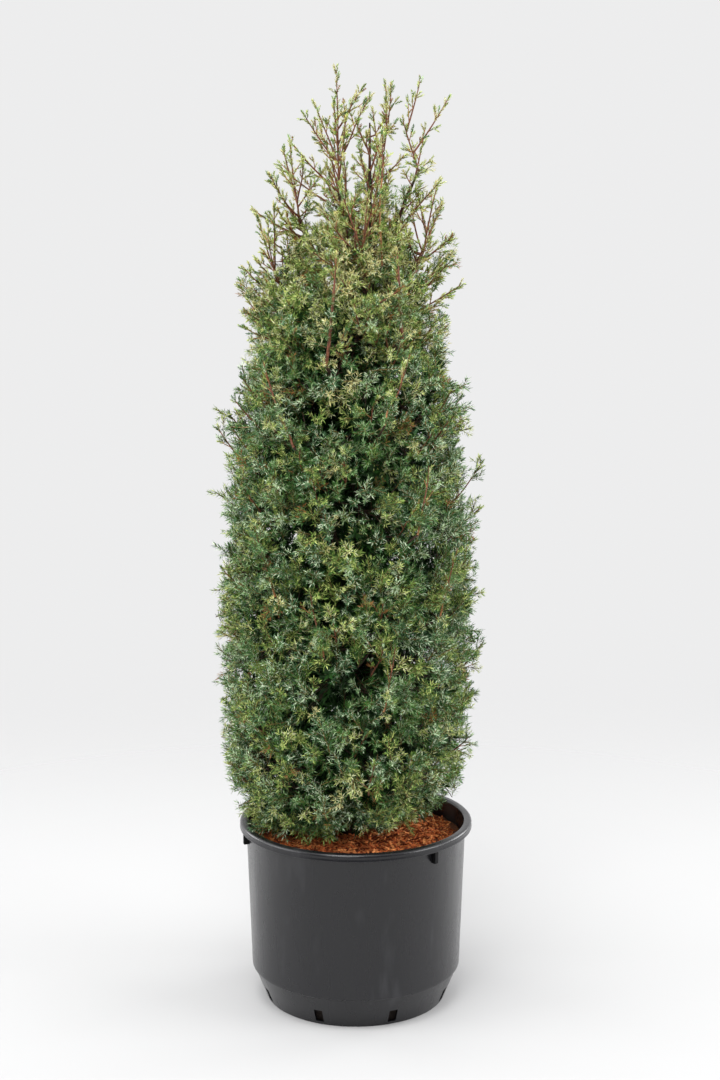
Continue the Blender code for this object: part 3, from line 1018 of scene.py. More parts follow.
def tube(points, radii, sides):
    """Corners and triangles of a thin tapering tube with a closed far end."""
    points = np.asarray(points, dtype=float)
    vertices, faces = [], []
    ahead = unit(np.gradient(points, axis=0))
    across, _ = frame_of(ahead[0])
    for k, (point, radius) in enumerate(zip(points, radii)):
        across = unit(across - ahead[k] * across.dot(ahead[k]))
        third = np.cross(ahead[k], across)
        for n in range(sides):
            t = math.tau * n / sides
            vertices.append(point + radius * (math.cos(t) * across + math.sin(t) * third))
    for k in range(len(points) - 1):
        for n in range(sides):
            a, b = k * sides + n, k * sides + (n + 1) % sides
            faces.append((a, b, b + sides))
            faces.append((a, b + sides, a + sides))
    last = (len(points) - 1) * sides
    faces.extend((last, last + n, last + n + 1) for n in range(1, sides - 1))
    return vertices, faces


def strip(start, end, radius):
    """A flat band of two triangles between two points."""
    across, _ = frame_of(unit(end - start))
    vertices = [point + side * radius * across for point in (start, end) for side in (-1, 1)]
    return vertices, [(0, 1, 3), (0, 3, 2)]


def along_path(path, share):
    """The point at a share of a path's corners."""
    corners = np.linspace(0, 1, len(path))
    return np.array([np.interp(share, corners, path[:, i]) for i in range(3)])


def path_length(path):
    return np.linalg.norm(np.diff(path, axis=0), axis=1).sum()


def heading_at(path, share, sight):
    """The direction of a path at a share of its corners, from a little before to a little after."""
    return unit(along_path(path, min(1.0, share + sight)) - along_path(path, share - sight))


def add_needles(rng, path, kind, plain, pale):
    """Whorls of folded needles along a shoot. They close up towards its tip, and some are pale: the pale
    band of their upper side, and painted glints."""
    count = max(LEAST_WHORLS, round(path_length(path) / kind.whorl_step))
    for whorl in range(count):
        s = (whorl + WHORL_PLACE) / count
        place = along_path(path, s)
        ahead = unit(place - along_path(path, s - WHORL_SIGHT))
        opening = math.radians(kind.opening_deg) * (1.0 - TIP_CLOSING * s ** CLOSING_POWER)
        first = rng.uniform(0, math.tau)
        for n in range(NEEDLES_IN_WHORL):
            turn = first + math.tau * n / NEEDLES_IN_WHORL + rng.uniform(*NEEDLE_TURN)
            way = leaning(ahead, turn, opening * rng.uniform(*LEAN_SPREAD))
            cross = unit(np.cross(way, ahead))
            lift = np.cross(cross, way)
            size = kind.needle * rng.uniform(*NEEDLE_SPREAD)
            middle = place + WIDEST_AT * size * way - FOLD_SHARE * kind.width * lift
            tip = place + size * way + UPTURN_SHARE * size * lift
            half = 0.5 * kind.width * cross
            needle = ([place, middle + half, tip, middle - half], [(0, 1, 2), (0, 2, 3)])
            append_shape(pale if rng.random() < PALE_SHARE else plain, needle)


def bent_shoot(rng, start, direction, length, bend, steps):
    """A shoot that starts in a direction and curves a little."""
    pull = across_at(direction, rng.uniform(0, math.tau))
    s = np.linspace(0, 1, steps)[:, None]
    return start + length * (s * direction + bend * s * s * pull)


def make_spray(rng, kind):
    """One spray along +Z: stems, the needles near its foot and of its tips, and the pale ones."""
    stems, inner, outer, pale = ([], []), ([], []), ([], []), ([], [])
    axis = bent_shoot(rng, np.zeros(3), UP, kind.length, AXIS_BEND, AXIS_CORNERS)
    shoots = [(axis, AXIS_RADIUS, kind.tip_share)]
    for k in range(kind.side_count):
        share = SIDE_FIRST + SIDE_SPAN * (k + rng.uniform(*SIDE_PLACE)) / kind.side_count
        t = GOLDEN_TURN * k + rng.uniform(*SIDE_TURN)
        lean = math.radians(rng.uniform(*SIDE_LEAN_DEG))
        way = np.array((math.sin(lean) * math.cos(t), math.sin(lean) * math.sin(t), math.cos(lean)))
        size = kind.side_length * (SIDE_FULL - SIDE_TAPER * share) * rng.uniform(*SIDE_SIZE)
        side = bent_shoot(rng, along_path(axis, share), way, size, SIDE_BEND, SIDE_CORNERS)
        shoots.append((side, SIDE_RADIUS, SIDE_TIP_SHARE))
    for path, radius, tip_share in shoots:
        cut = len(path) - 1 - round((len(path) - 1) * tip_share)
        if cut > 0:
            add_needles(rng, path[:cut + 1], kind, inner, pale)
        add_needles(rng, path[cut:], kind, outer, pale)
        append_shape(stems, strip(path[0], path[-1], radius))
    return stems, inner, outer, pale


def make_spray_kinds():
    rng = np.random.default_rng(SEED)
    parts = {"stems": [], "inner": [], "outer": [], "pale": []}
    for kind in SPRAY_KINDS:
        for _ in range(SPRAYS_OF_A_KIND):
            for key, shape in zip(parts, make_spray(rng, kind)):
                parts[key].append(shape)
    return parts


# Crown skeleton

class Growth:
    """The branches of the crown and the sprays that they bear, kept inside the model's box."""

    def __init__(self):
        self.wood = {name: ([], []) for name in TWIG_COLOURS}
        self.sprays = []
        self.joints = []
        low, high = (np.array(corner) for corner in cad_box)
        room = PROUD_SHARE * (high - low) + PROUD
        self.low, self.high = low - room, high + room

    def add_branch(self, wood, points, first_radius, last_radius, sides):
        radii = np.linspace(first_radius, last_radius, len(points))
        append_shape(self.wood[wood], tube(points, radii, sides))

    def add_spray(self, place, along, kind, size, light):
        reach = SPRAY_KINDS[kind].length * size
        tip = place + along * reach
        spread = SPRAY_SPREAD * reach
        place = place - np.maximum(tip + spread - self.high, 0) + np.maximum(self.low - tip + spread, 0)
        self.sprays.append((place, along, kind, size, light))

    def add_shade_spray(self, rng, middle, along):
        """A coarse spray in the near-black of painted shade, with its middle at a place."""
        foot = middle - along * SHADE_BEHIND * SPRAY_KINDS[SHADE_KIND].length
        self.add_spray(foot, along, SHADE_KIND, rng.uniform(*SHADE_SIZE), PAINTED_SHADE_LIGHT)


def heading(rng, out, shares):
    """A direction made up of a way out, the way up and a random way, by their shares."""
    outward, upward, stray = shares
    return unit(outward * out + upward * UP + stray * rng.normal(size=3))


def curve_between(start, end, lift, steps):
    """A branch that leaves its start low and turns up towards its end."""
    control = start + 0.5 * (end - start) + np.array((0.0, 0.0, -lift * np.linalg.norm(end - start)))
    s = np.linspace(0, 1, steps)[:, None]
    return (1 - s) ** 2 * start + 2 * s * (1 - s) * control + s * s * end


def node_mesh(node):
    """A node's corners and triangles as arrays."""
    mesh = nodes[node].data
    mesh.calc_loop_triangles()
    corners = np.empty(3 * len(mesh.vertices))
    mesh.vertices.foreach_get("co", corners)
    faces = np.empty(3 * len(mesh.loop_triangles), dtype=np.int32)
    mesh.loop_triangles.foreach_get("vertices", faces)
    return corners.reshape(-1, 3), faces.reshape(-1, 3)


def node_tree(node):
    """A node's corners, and its triangles as a tree that lines are cast at."""
    corners, faces = node_mesh(node)
    return corners, BVHTree.FromPolygons(corners.tolist(), faces.tolist())


def hit_from_outside(tree, middle, way):
    """Where the line from a mass's middle along a direction leaves the mass, or None."""
    hit = tree.ray_cast(Vector(middle + way * RAY_REACH), -Vector(way))[0]
    return None if hit is None else np.array(hit)


def limb_end(node):
    """The far end of a bough or leader: the middle of the corners that lie furthest from the pot."""
    corners, _ = node_mesh(node)
    score = corners[:, 2] + BOUGH_WEIGHT * np.hypot(corners[:, 0], corners[:, 1]) * ("bough" in node)
    far = corners[np.argmax(score)]
    near = np.linalg.norm(corners - far, axis=1) < LIMB_TIP
    return corners[near].mean(axis=0)


def limb_line(node):
    """The middle line of an upright limb, from the rings of corners round it."""
    corners, _ = node_mesh(node)
    corners = corners[np.argsort(corners[:, 2])]
    rings = np.split(corners, np.flatnonzero(np.diff(corners[:, 2]) > RING_STEP) + 1)
    return np.array([ring.mean(axis=0) for ring in rings])


def surface_points(rng, corners, faces, outer_density, inner_density):
    """Random points on a mass: many on faces that look away from the trunk, fewer on the others."""
    a, b, c = (corners[faces[:, i]] for i in range(3))
    cross = np.cross(b - a, c - a)
    area = np.linalg.norm(cross, axis=1) / 2
    keep = area > LEAST_AREA
    a, b, c, cross, area = a[keep], b[keep], c[keep], cross[keep], area[keep]
    normal = unit(cross)
    away = (a + b + c) / 3 - np.array((*TRUNK_PLACE, corners[:, 2].mean()))
    away[:, 2] *= LEVEL_SHARE
    outward = (normal * unit(away)).sum(axis=1) > OUTWARD_FROM
    count = rng.poisson(area * np.where(outward, outer_density, inner_density))
    pick = np.repeat(np.arange(len(area)), count)
    u, v = rng.random(len(pick)), rng.random(len(pick))
    flip = u + v > 1
    u[flip], v[flip] = 1 - u[flip], 1 - v[flip]
    places = a[pick] + u[:, None] * (b - a)[pick] + v[:, None] * (c - a)[pick]
    return places, normal[pick], outward[pick]


def clusters(rng, places, size):
    """Groups of nearby places with about that many in each, as arrays of their indices."""
    count = max(1, round(len(places) / size))
    centres = places[rng.choice(len(places), count, replace=False)]
    for _ in range(CLUSTER_ROUNDS):
        group = np.argmin(np.linalg.norm(places[:, None] - centres[None], axis=2), axis=1)
        centres = np.array([places[group == k].mean(axis=0) if (group == k).any() else centres[k]
                            for k in range(count)])
    return [np.flatnonzero(group == k) for k in range(count) if (group == k).any()]


def clump_depth(places):
    """How far the foliage is drawn in between its clumps, from 0 to 1."""
    drawn = np.array([noise.noise(Vector(p) * CLUMP_FREQUENCY) for p in places])
    return np.clip(CLUMP_MIDDLE - CLUMP_CONTRAST * drawn, 0.0, 1.0)


def crown_at(height):
    """The crown's half width and the point of its axis at a height, or those at several."""
    heights, half_widths, x, y = np.array(CROWN_STATIONS).T
    axis = np.stack([np.interp(height, heights, x), np.interp(height, heights, y), height], axis=-1)
    return np.interp(height, heights, half_widths), axis


def crown_reach(places):
    """How far inside the crown's outline places lie, and their level directions from its axis."""
    half_widths, axis = crown_at(places[:, 2])
    away = places[:, :2] - axis[:, :2]
    radius = np.linalg.norm(away, axis=1)
    radial = np.column_stack([away / radius[:, None], np.zeros(len(places))])
    return half_widths - radius, radial


def pushed_out(rng, places, normals):
    """Places near the crown's outline move out towards it, so no waist shows between two masses."""
    inside, radial = crown_reach(places)
    short = inside - EDGE_INSET
    near = (short > 0) & (short < EDGE_REACH)
    push = np.where(near, short * np.sqrt(rng.random(len(places))), 0.0)
    turned_out = np.where(near[:, None], unit(radial + EDGE_NORMAL_SHARE * normals), normals)
    return places + push[:, None] * radial, turned_out, near


def in_hollow(place):
    return any(math.dist(place, centre) < radius for *centre, radius in HOLLOWS)


def light_at(depth):
    """The painted light of a body spray from its depth under the crown's face: the deepest get the dark
    tints of painted shade.
    """
    return 1.0 - depth / (LAYER_DEPTH + CLUMP_DEPTH)


def grow_mass(growth, rng, node, root, outer_density, inner_density, kind_shares, wood):
    """Branches from the limb's end fork into twigs, and the twigs end in sprays near the surface."""
    corners, faces = node_mesh(node)
    places, normals, outward = surface_points(rng, corners, faces, outer_density, inner_density)
    if node.removeprefix("foliage_") not in PLUMES:
        places, normals, pushed = pushed_out(rng, places, normals)
        outward |= pushed
    closed = np.clip((OPEN_ABOVE - places[:, 2]) / OPEN_FADE, 0.0, 1.0)
    keep = rng.random(len(places)) < closed
    keep &= ~np.array([in_hollow(place) for place in places])
    inside, _ = crown_reach(places)
    frayed = rng.random(len(places)) < OUTLINE_MIDDLE + inside / OUTLINE_FADE
    keep &= (places[:, 2] < OUTLINE_ABOVE) | frayed
    if not keep.any():
        return
    places, normals, outward = places[keep], normals[keep], outward[keep]
    outer_depth = rng.random(len(places)) * LAYER_DEPTH
    depth = np.where(outward, outer_depth, rng.random(len(places)) * INNER_LAYER_DEPTH)
    depth += np.where(outward, clump_depth(places) * CLUMP_DEPTH, 0.0)
    places = places - normals * depth[:, None]
    for branch in clusters(rng, places, BRANCH_SHARE):
        heart = places[branch].mean(axis=0)
        fork = root + FORK_SHARE * (heart - root)
        fork[2] -= FORK_DROP
        growth.add_branch(wood, curve_between(root, fork, *BRANCH_CURVE), *BRANCH_WOOD)
        for twig in clusters(rng, places[branch], TWIG_SHARE):
            group = branch[twig]
            furthest = group[np.argmax(np.linalg.norm(places[group] - fork, axis=1))]
            line = curve_between(fork, places[furthest] - TWIG_INSET * normals[furthest], *TWIG_CURVE)
            growth.add_branch(wood, line, *TWIG_WOOD)
            growth.joints.append(line[JOINT_CORNER])
            for one in group:
                along = heading(rng, normals[one], MASS_HEADING)
                kind = rng.choice(BODY_KINDS, p=kind_shares)
                size = rng.uniform(*BODY_SIZE)
                foot = places[one] - along * SPRAY_KINDS[kind].length * size * SPRAY_BEHIND
                joint = line[int(rng.uniform(*LINKED_PART) * (len(line) - 1))]
                growth.add_branch(wood, curve_between(joint, foot, *LINK_CURVE), *LINK_WOOD)
                # Sprays deep under the face, and all on faces that look inwards, get little painted light,
                # which deals them the dark tints of painted shade.
                growth.add_spray(foot, along, kind, size, light_at(depth[one]) if outward[one] else 0.0)


def add_joined_spray(growth, rng, place, outward, joints, light):
    """A body spray through a place, on a thin twig from the nearest joint of the crown."""
    along = heading(rng, outward, JOINED_HEADING)
    kind = rng.choice(BODY_KINDS, p=BODY_KIND_SHARES)
    foot = place - along * SPRAY_KINDS[kind].length * SPRAY_BEHIND
    link = curve_between(nearest(joints, foot), foot, *LINK_CURVE)
    growth.add_branch("twigs_brown", link, *LINK_WOOD)
    growth.add_spray(foot, along, kind, rng.uniform(*BODY_SIZE), light)


def fill_outline(growth, rng):
    """Sprays where the crown's face is bare, so that its masses close up into one crown."""
    z = rng.uniform(*FILL_SPAN, FILL_TRIES)
    turn = rng.uniform(0, math.tau, FILL_TRIES)
    out = np.column_stack([np.cos(turn), np.sin(turn), np.zeros(FILL_TRIES)])
    half_widths, middles = crown_at(z)
    depth = rng.uniform(*FILL_DEPTH, FILL_TRIES)
    reach = half_widths - depth - CLUMP_DEPTH * clump_depth(middles + FILL_PROBE * out)
    places = middles + reach[:, None] * out
    taken = np.array([foot + along * FILL_TAKEN * SPRAY_KINDS[kind].length
                      for foot, along, kind, _, light in growth.sprays if light > 0])
    count = len(taken)
    taken = np.concatenate([taken, np.empty((FILL_TRIES, 3))])
    joints = np.array(growth.joints)
    for place, way, deep in zip(places, out, depth):
        if in_hollow(place) or np.linalg.norm(taken[:count] - place, axis=1).min() < FILL_GAP:
            continue
        if rng.random() > (OPEN_ABOVE - place[2]) / OPEN_FADE:
            continue
        taken[count] = place
        count += 1
        add_joined_spray(growth, rng, place, way, joints, light_at(deep))


def grow_skirt(growth, rng):
    """Low sprays that hang over the mulch and the rim, more on the left."""
    joints = np.array(growth.joints)
    for turn in np.radians(rng.uniform(*SKIRT_DEG, SKIRT_SPRAYS)):
        way = np.array((math.sin(turn), -math.cos(turn), 0.0))
        aside = min(1.0, abs(turn - math.radians(SKIRT_LEFT_DEG)) / SKIRT_ASIDE)
        reach = rng.uniform(*SKIRT_REACH) * (1.0 - SKIRT_NARROW * aside)
        place = reach * way + np.array((SKIRT_SHIFT, 0.0, rng.uniform(*SKIRT_RISE) + SKIRT_LIFT * aside))
        if in_hollow(place):
            continue
        add_joined_spray(growth, rng, place, way - SKIRT_DROOP * UP, joints, rng.uniform(*SKIRT_LIGHT))


def grow_core(growth, rng):
    """Coarse sprays in the near-black of painted shade between the boughs round the trunk, so that no light
    shows through the crown.
    """
    for _ in range(CORE_SPRAYS):
        half_width, axis = crown_at(rng.uniform(*CORE_SPAN))
        out = level(rng.uniform(0, math.tau))
        reach = half_width * rng.uniform(*CORE_REACH)
        growth.add_shade_spray(rng, axis + reach * out, heading(rng, out, CORE_HEADING))


def grow_shade(growth, rng, node):
    """Coarse sprays in the near-black of painted shade deep in a mass, which close the crown behind its
    outer sprays.
    """
    corners, faces = node_mesh(node)
    inner_density = INNER_SHADE_SHARE * SHADE_SPRAYS
    places, normals, outward = surface_points(rng, corners, faces, SHADE_SPRAYS, inner_density)
    outer_depth = rng.uniform(*SHADE_DEPTH, len(places))
    deep = np.where(outward, outer_depth, rng.uniform(*INNER_SHADE_DEPTH, len(places)))
    middles = places - normals * deep[:, None]
    inside, _ = crown_reach(middles)
    for middle in middles[(inside > SHADE_INSET) & (middles[:, 2] < SHADE_BELOW)]:
        growth.add_shade_spray(rng, middle, heading(rng, UP, SHADE_HEADING))


def swayed(rng, line, sway):
    """A line that bends gently from side to side, with its ends kept."""
    s = np.linspace(0, 1, len(line))[:, None]
    across, third = frame_of(unit(line[-1] - line[0]))
    first, second = rng.uniform(-1, 1, 2)
    wave = np.sin(math.pi * s) * first + SECOND_SWAY * np.sin(math.tau * s) * second
    return line + sway * wave * (across + SWAY_ASIDE * rng.uniform(-1, 1) * third)


def grow_shoot(growth, rng, base, tip, shoot, bud_kind):
    """An ascending shoot: side shoots stand round it, and buds of needles stand on all of them."""
    length = np.linalg.norm(tip - base)
    line = swayed(rng, curve_between(base, tip, *SHOOT_CURVE), SHOOT_SWAY * length)
    growth.add_branch("twigs_red", line, shoot.radius, SHOOT_TIP_RADIUS, SHOOT_SIDES)
    leafy = 1 - shoot.bare_share
    steps = max(LEAST_STEPS, round(length * leafy / SIDE_SHOOT_STEP))
    bud_step = BUD_STEP if bud_kind == BUD_KIND else LONG_BUD_STEP
    for n in range(steps):
        s = shoot.bare_share + leafy * (n + rng.uniform(*STEP_PLACE)) / steps
        place = along_path(line, s)
        turn = GOLDEN_TURN * n + rng.uniform(*STEP_TURN)
        lean = math.radians(rng.uniform(*STEP_LEAN_DEG))
        way = leaning(heading_at(line, s, SHOOT_SIGHT), turn, lean)
        reach = shoot.side_length * (STEP_FULL - s) * rng.uniform(*STEP_SIZE)
        if reach > LEAST_SIDE_SHOOT:
            side = bent_shoot(rng, place, way, reach, SHOOT_BEND, SIDE_CORNERS)
            side[:, 2] += SHOOT_BEND * reach * np.linspace(0, 1, SIDE_CORNERS) ** 2
            growth.add_branch("twigs_orange", side, *SIDE_WOOD)
            add_buds(growth, rng, side, bud_kind, bud_step, BUD_LEANS)
        else:
            growth.add_spray(place, way, bud_kind, rng.uniform(*SMALL_SIZE), FULL_LIGHT)
    add_buds(growth, rng, line[BUDDED_FROM:], BUD_KIND, LEADING_BUD_STEP, LEADING_BUD_LEANS)
    return line


def add_buds(growth, rng, line, kind, step, leans):
    """Buds of needles that stand off a thin shoot by turns, and one at its tip."""
    count = max(1, round(path_length(line) / step))
    for n in range(count):
        s = (n + rng.uniform(*BUD_PLACE)) / count
        turn = BUD_TURN * n + rng.uniform(*BUD_STRAY)
        lean = math.radians(rng.uniform(*leans))
        way = leaning(heading_at(line, s, BUD_SIGHT), turn, lean)
        growth.add_spray(along_path(line, s), way, kind, rng.uniform(*BUD_SIZE), FULL_LIGHT)
    ahead = unit(line[-1] - line[-2])
    growth.add_spray(line[-1] - LAST_BUD_BACK * ahead, ahead, BUD_KIND, 1.0, FULL_LIGHT)


def grow_plume(growth, rng, name, root):
    """The leader fans into ascending shoots that reach the top and the sides of its plume."""
    corners, tree = node_tree(f"foliage_{name}")
    middle = (corners.min(axis=0) + corners.max(axis=0)) / 2
    line = limb_line(f"leader_{name}")
    tips = [np.array(tip) for tip in TALL_TIPS.get(name, ())]
    count = SHOOTS.get(name, 0)
    for k in range(count):
        turn = GOLDEN_TURN * k + rng.uniform(*PLUME_TURN)
        rise = 1.0 - PLUME_FAN * k / count
        flat = PLUME_FLAT[0] - PLUME_FLAT[1] * rise
        way = unit(flat * level(turn) + (PLUME_STEEP[0] + PLUME_STEEP[1] * rise) * UP)
        tips.append(corners[np.argmax(corners[:, 2])] if k == 0 else hit_from_outside(tree, middle, way))
    for k, tip in enumerate(tips):
        if tip is not None:
            base = at_height(line, tip[2] - rng.uniform(*PLUME_RISE))
            shoot = grow_shoot(growth, rng, root if k == 0 else base, tip, PLUME_SHOOT, BUD_KIND)
            line = np.concatenate([line, shoot[1:]]) if k == 0 else line


def dress_limb(growth, rng, node, low, high, length):
    """Ascending side branches round a limb, shorter towards its top."""
    line = limb_line(node)
    for n, height in enumerate(np.arange(low, high, DRESS_STEP)):
        place = at_height(line, height)
        turn = GOLDEN_TURN * n + rng.uniform(*DRESS_TURN)
        way = unit(level(turn) + rng.uniform(*DRESS_RISE) * UP)
        reach = length * rng.uniform(*DRESS_SIZE) * (1.0 - DRESS_TAPER * (height - low) / (high - low))
        grow_shoot(growth, rng, place, place + way * reach, DRESS_SHOOT, BUD_KIND)
    if node != "trunk" and line[-1, 2] > SLEEVE_ABOVE + SLEEVE_LEAST:
        upper = at_height(line, np.linspace(SLEEVE_ABOVE, line[-1, 2], SLEEVE_CORNERS))
        add_buds(growth, rng, upper, SMALL_KIND, SLEEVE_STEP, SLEEVE_LEANS)


def grow_cone(growth, rng):
    """Side branches that rise from the limbs to the outline of the crown's open top, and within it."""
    lines = [limb_line(limb) for limb, *_ in DRESSED]
    tips = [np.array(tip) for tip in CONE_TIPS]
    for n in range(CONE_BRANCHES):
        share = ((n + 0.5) / CONE_BRANCHES) ** CONE_CROWDING
        half_width, axis = crown_at(CONE_SPAN[0] + (CONE_SPAN[1] - CONE_SPAN[0]) * share)
        turn = GOLDEN_TURN * n + rng.uniform(*CONE_TURN)
        reach = min(CONE_WIDEST, half_width * rng.uniform(*CONE_REACH))
        tips.append(axis + reach * level(turn))
    for tip in tips:
        low = tip[2] - rng.uniform(*CONE_RISE)
        starts = [at_height(line, low) for line in lines]
        lack = [max(0.0, CONE_LEAN - np.hypot(*tip[:2]) + np.hypot(*start[:2])) for start in starts]
        costs = [np.linalg.norm(start - tip) + CONE_LEAN_COST * short for start, short in zip(starts, lack)]
        bushy = rng.random() < (CONE_BUSHY_BELOW - tip[2]) / CONE_BUSHY_FADE
        kind = SMALL_KIND if bushy else BUD_KIND
        grow_shoot(growth, rng, starts[np.argmin(costs)], tip, CONE_SHOOT, kind)


def grow_tufts(growth, rng):
    """Pointed tufts that rise out of the crown's sides, fed from its nearest twigs."""
    joints = np.array(growth.joints)
    for n in range(TUFTS):
        share = math.sqrt((n + 0.5) / TUFTS)
        half_width, axis = crown_at(TUFT_SPAN[0] + (TUFT_SPAN[1] - TUFT_SPAN[0]) * share)
        out = level(GOLDEN_TURN * n + rng.uniform(*TUFT_TURN))
        tip = axis + (half_width + rng.uniform(*TUFT_PROUD)) * out
        base = tip - rng.uniform(*TUFT_LENGTH) * unit(rng.uniform(*TUFT_OUT) * out + UP)
        link = curve_between(nearest(joints, base), base, *LINK_CURVE)
        growth.add_branch("twigs_brown", link, *TUFT_WOOD)
        grow_shoot(growth, rng, base, tip, TUFT_SHOOT, SMALL_KIND)


def grow_heart(growth, rng):
    """Small sprays close round the limbs of the top, fewer towards its tips."""
    for limb, *_ in DRESSED:
        line = limb_line(limb)
        for height in np.arange(*HEART_SPAN, HEART_STEP):
            if rng.random() > (HEART_OPEN - height) / HEART_FADE or height > line[-1, 2]:
                continue
            out = level(rng.uniform(0, math.tau))
            start = at_height(line, height)
            foot = start + rng.uniform(*HEART_REACH) * unit(out + HEART_RISE * UP)
            growth.add_branch("twigs_red", curve_between(start, foot, *LINK_CURVE), *HEART_WOOD)
            along = heading(rng, out, HEART_HEADING)
            kind = rng.choice(BODY_KINDS, p=PLUME_KIND_SHARES)
            growth.add_spray(foot, along, kind, rng.uniform(*SMALL_SIZE), rng.uniform(*HEART_LIGHT))


def grow_rising_shoots(growth, rng, node, root):
    """Longer shoots of a ring mass: they run out to its face and rise to its upper edge."""
    corners, tree = node_tree(node)
    middle = corners.mean(axis=0)
    out = unit(np.array((middle[0], middle[1], 0.0)))
    across = np.array((-out[1], out[0], 0.0))
    for _ in range(RISING_SHOOTS):
        side = rng.uniform(*RISING_SIDE)
        way = unit(out + side * across + rng.uniform(*RISING_RISE) * UP)
        tip = hit_from_outside(tree, middle, way)
        if tip is None or in_hollow(tip):
            continue
        length = rng.uniform(*RISING_LENGTH)
        base = tip - length * heading(rng, out, (rng.uniform(*RISING_LEAN), 1.0, RISING_STRAY))
        growth.add_branch("twigs_brown", curve_between(root, base, *RISING_CURVE), *RISING_WOOD)
        tip = tip + RISING_PROUD * UP
        grow_shoot(growth, rng, base, tip, RISING_SHOOT, rng.choice((SMALL_KIND, BUD_KIND)))


def grow_shown_stems(growth, rng):
    """Bare stretches of stem that show in the crown's face, led out of its inside."""
    for low, high, radius in SHOWN_STEMS:
        low, high = np.array(low), np.array(high)
        foot_radius, low_radius, high_radius = (share * radius for share in STEM_TAPER)
        inside = low * (STEM_ROOT_SHARE, STEM_ROOT_SHARE, 1.0) - STEM_ROOT_DROP * UP
        out = unit(low * (1.0, 1.0, 0.0))
        foot = curve_between(inside, low, *STEM_FOOT_CURVE)
        growth.add_branch("twigs_brown", foot, foot_radius, low_radius, STEM_SIDES)
        shown = swayed(rng, curve_between(low, high, *STEM_CURVE), STEM_SWAY)
        wood = "twigs_red" if radius > THICK_STEM else "twigs_orange"
        growth.add_branch(wood, shown, low_radius, high_radius, STEM_SIDES)
        for share in np.arange(*STEM_SPRAYS):
            along = heading(rng, out, STEM_HEADING)
            size = rng.uniform(*STEM_SPRAY_SIZE)
            growth.add_spray(along_path(shown, share), along, SMALL_KIND, size, FULL_LIGHT)
        tip = high + STEM_TIP * unit(unit(high - low) + STEM_TIP_RISE * UP)
        grow_shoot(growth, rng, high, tip, Shoot(STEM_BARE_SHARE, high_radius, STEM_SIDE_LENGTH), BUD_KIND)


def grow_crown():
    rng = np.random.default_rng(SEED + 1)
    growth = Growth()
    inner_plume = PLUME_SPRAYS * INNER_PLUME_SHARE
    for node in foliage_nodes:
        name = node.removeprefix("foliage_")
        grow_shade(growth, rng, node)
        if name in PLUMES:
            root = limb_end(f"leader_{name}")
            grow_mass(growth, rng, node, root, PLUME_SPRAYS, inner_plume, PLUME_KIND_SHARES, "twigs_red")
            grow_plume(growth, rng, name, root)
        else:
            root = limb_end(f"bough_{name}")
            grow_mass(growth, rng, node, root, OUTER_SPRAYS, INNER_SPRAYS, BODY_KIND_SHARES, "twigs_brown")
            grow_rising_shoots(growth, rng, node, root)
    fill_outline(growth, rng)
    grow_skirt(growth, rng)
    grow_core(growth, rng)
    grow_shown_stems(growth, rng)
    for limb in DRESSED:
        dress_limb(growth, rng, *limb)
    grow_cone(growth, rng)
    grow_tufts(growth, rng)
    grow_heart(growth, rng)
    return growth


# Tints of the needles, dealt out by spray

def deal_tints(rng, light, height):
    """The tints of a spray's foot and tips, from how high it stands and from its painted light, so that
    deep sprays get the dark tints of painted shade.
    """
    # The coarse filling sprays are all in the darkest tint, as painted shade.
    if light < 0:
        return "needles_shade", "needles_shade"
    # Sprays deep in the crown get dark feet and dark tips, as painted shade.
    if light < DARK_LIGHT:
        return rng.choice(DARK_FEET, p=DARK_SHARES), "needles_deep"
    high = min(1.0, max(0.0, (height - HIGH_FROM) / HIGH_FADE))
    foot = rng.choice(FOOT_TINTS, p=np.array(FOOT_SHARES) + high * np.array(FOOT_CHANGES))
    shares = (1 - high) * np.array(LOW_SHARES) + high * np.array(HIGH_SHARES)
    return foot, rng.choice(TIP_TINTS, p=shares)


def deal_sprays(growth):
    """The crown's sprays by part and tint, each with its place, directions, size and shape."""
    rng = np.random.default_rng(SEED + 2)
    dealt = defaultdict(list)
    for place, along, kind, size, light in growth.sprays:
        shape = kind * SPRAYS_OF_A_KIND + rng.integers(SPRAYS_OF_A_KIND)
        side = across_at(along, rng.uniform(0, math.tau))
        foot, tips = deal_tints(rng, light, place[2])
        spray = (place, along, side, size, shape)
        dealt["inner", foot].append(spray)
        dealt["outer", tips].append(spray)
        dealt["pale", PALE_TINTS[tips]].append(spray)
        if light >= 0:
            dealt["stems", "spray_stems"].append(spray)
    return dealt


def build_needles(growth, tree):
    """Pieces of one part and one tint each, with a new piece where one grows too large."""
    parts = make_spray_kinds()
    collections = {key: shape_collection(f"spray_{key}", shapes) for key, shapes in parts.items()}
    weights = {key: [len(faces) for _, faces in shapes] for key, shapes in parts.items()}
    dealt = deal_sprays(growth)
    materials = {name: needle_material(name, colour) for name, colour in TINTS.items()}
    materials["spray_stems"] = twig_material("spray_stems", STEM_COLOUR)
    made = []
    for (part, tint), sprays in dealt.items():
        batch, triangles, number = [], 0, 1
        for k, spray in enumerate(sprays):
            batch.append(spray)
            triangles += weights[part][spray[-1]]
            if triangles > PIECE_TRIANGLES or k == len(sprays) - 1:
                if triangles:
                    name = f"{tint}_{part}_{number}"
                    made.append(scatter(name, tree, collections[part], materials[tint], *zip(*batch)))
                batch, triangles, number = [], 0, number + 1
    for collection in collections.values():
        drop_collection(collection)
    return made


def build_twigs(growth):
    return [mesh_object(name, vertices, faces, twig_material(name, TWIG_COLOURS[name]))
            for name, (vertices, faces) in growth.wood.items()]


# Bark: the trunk and limbs with shredding relief, drawn thinner towards the top

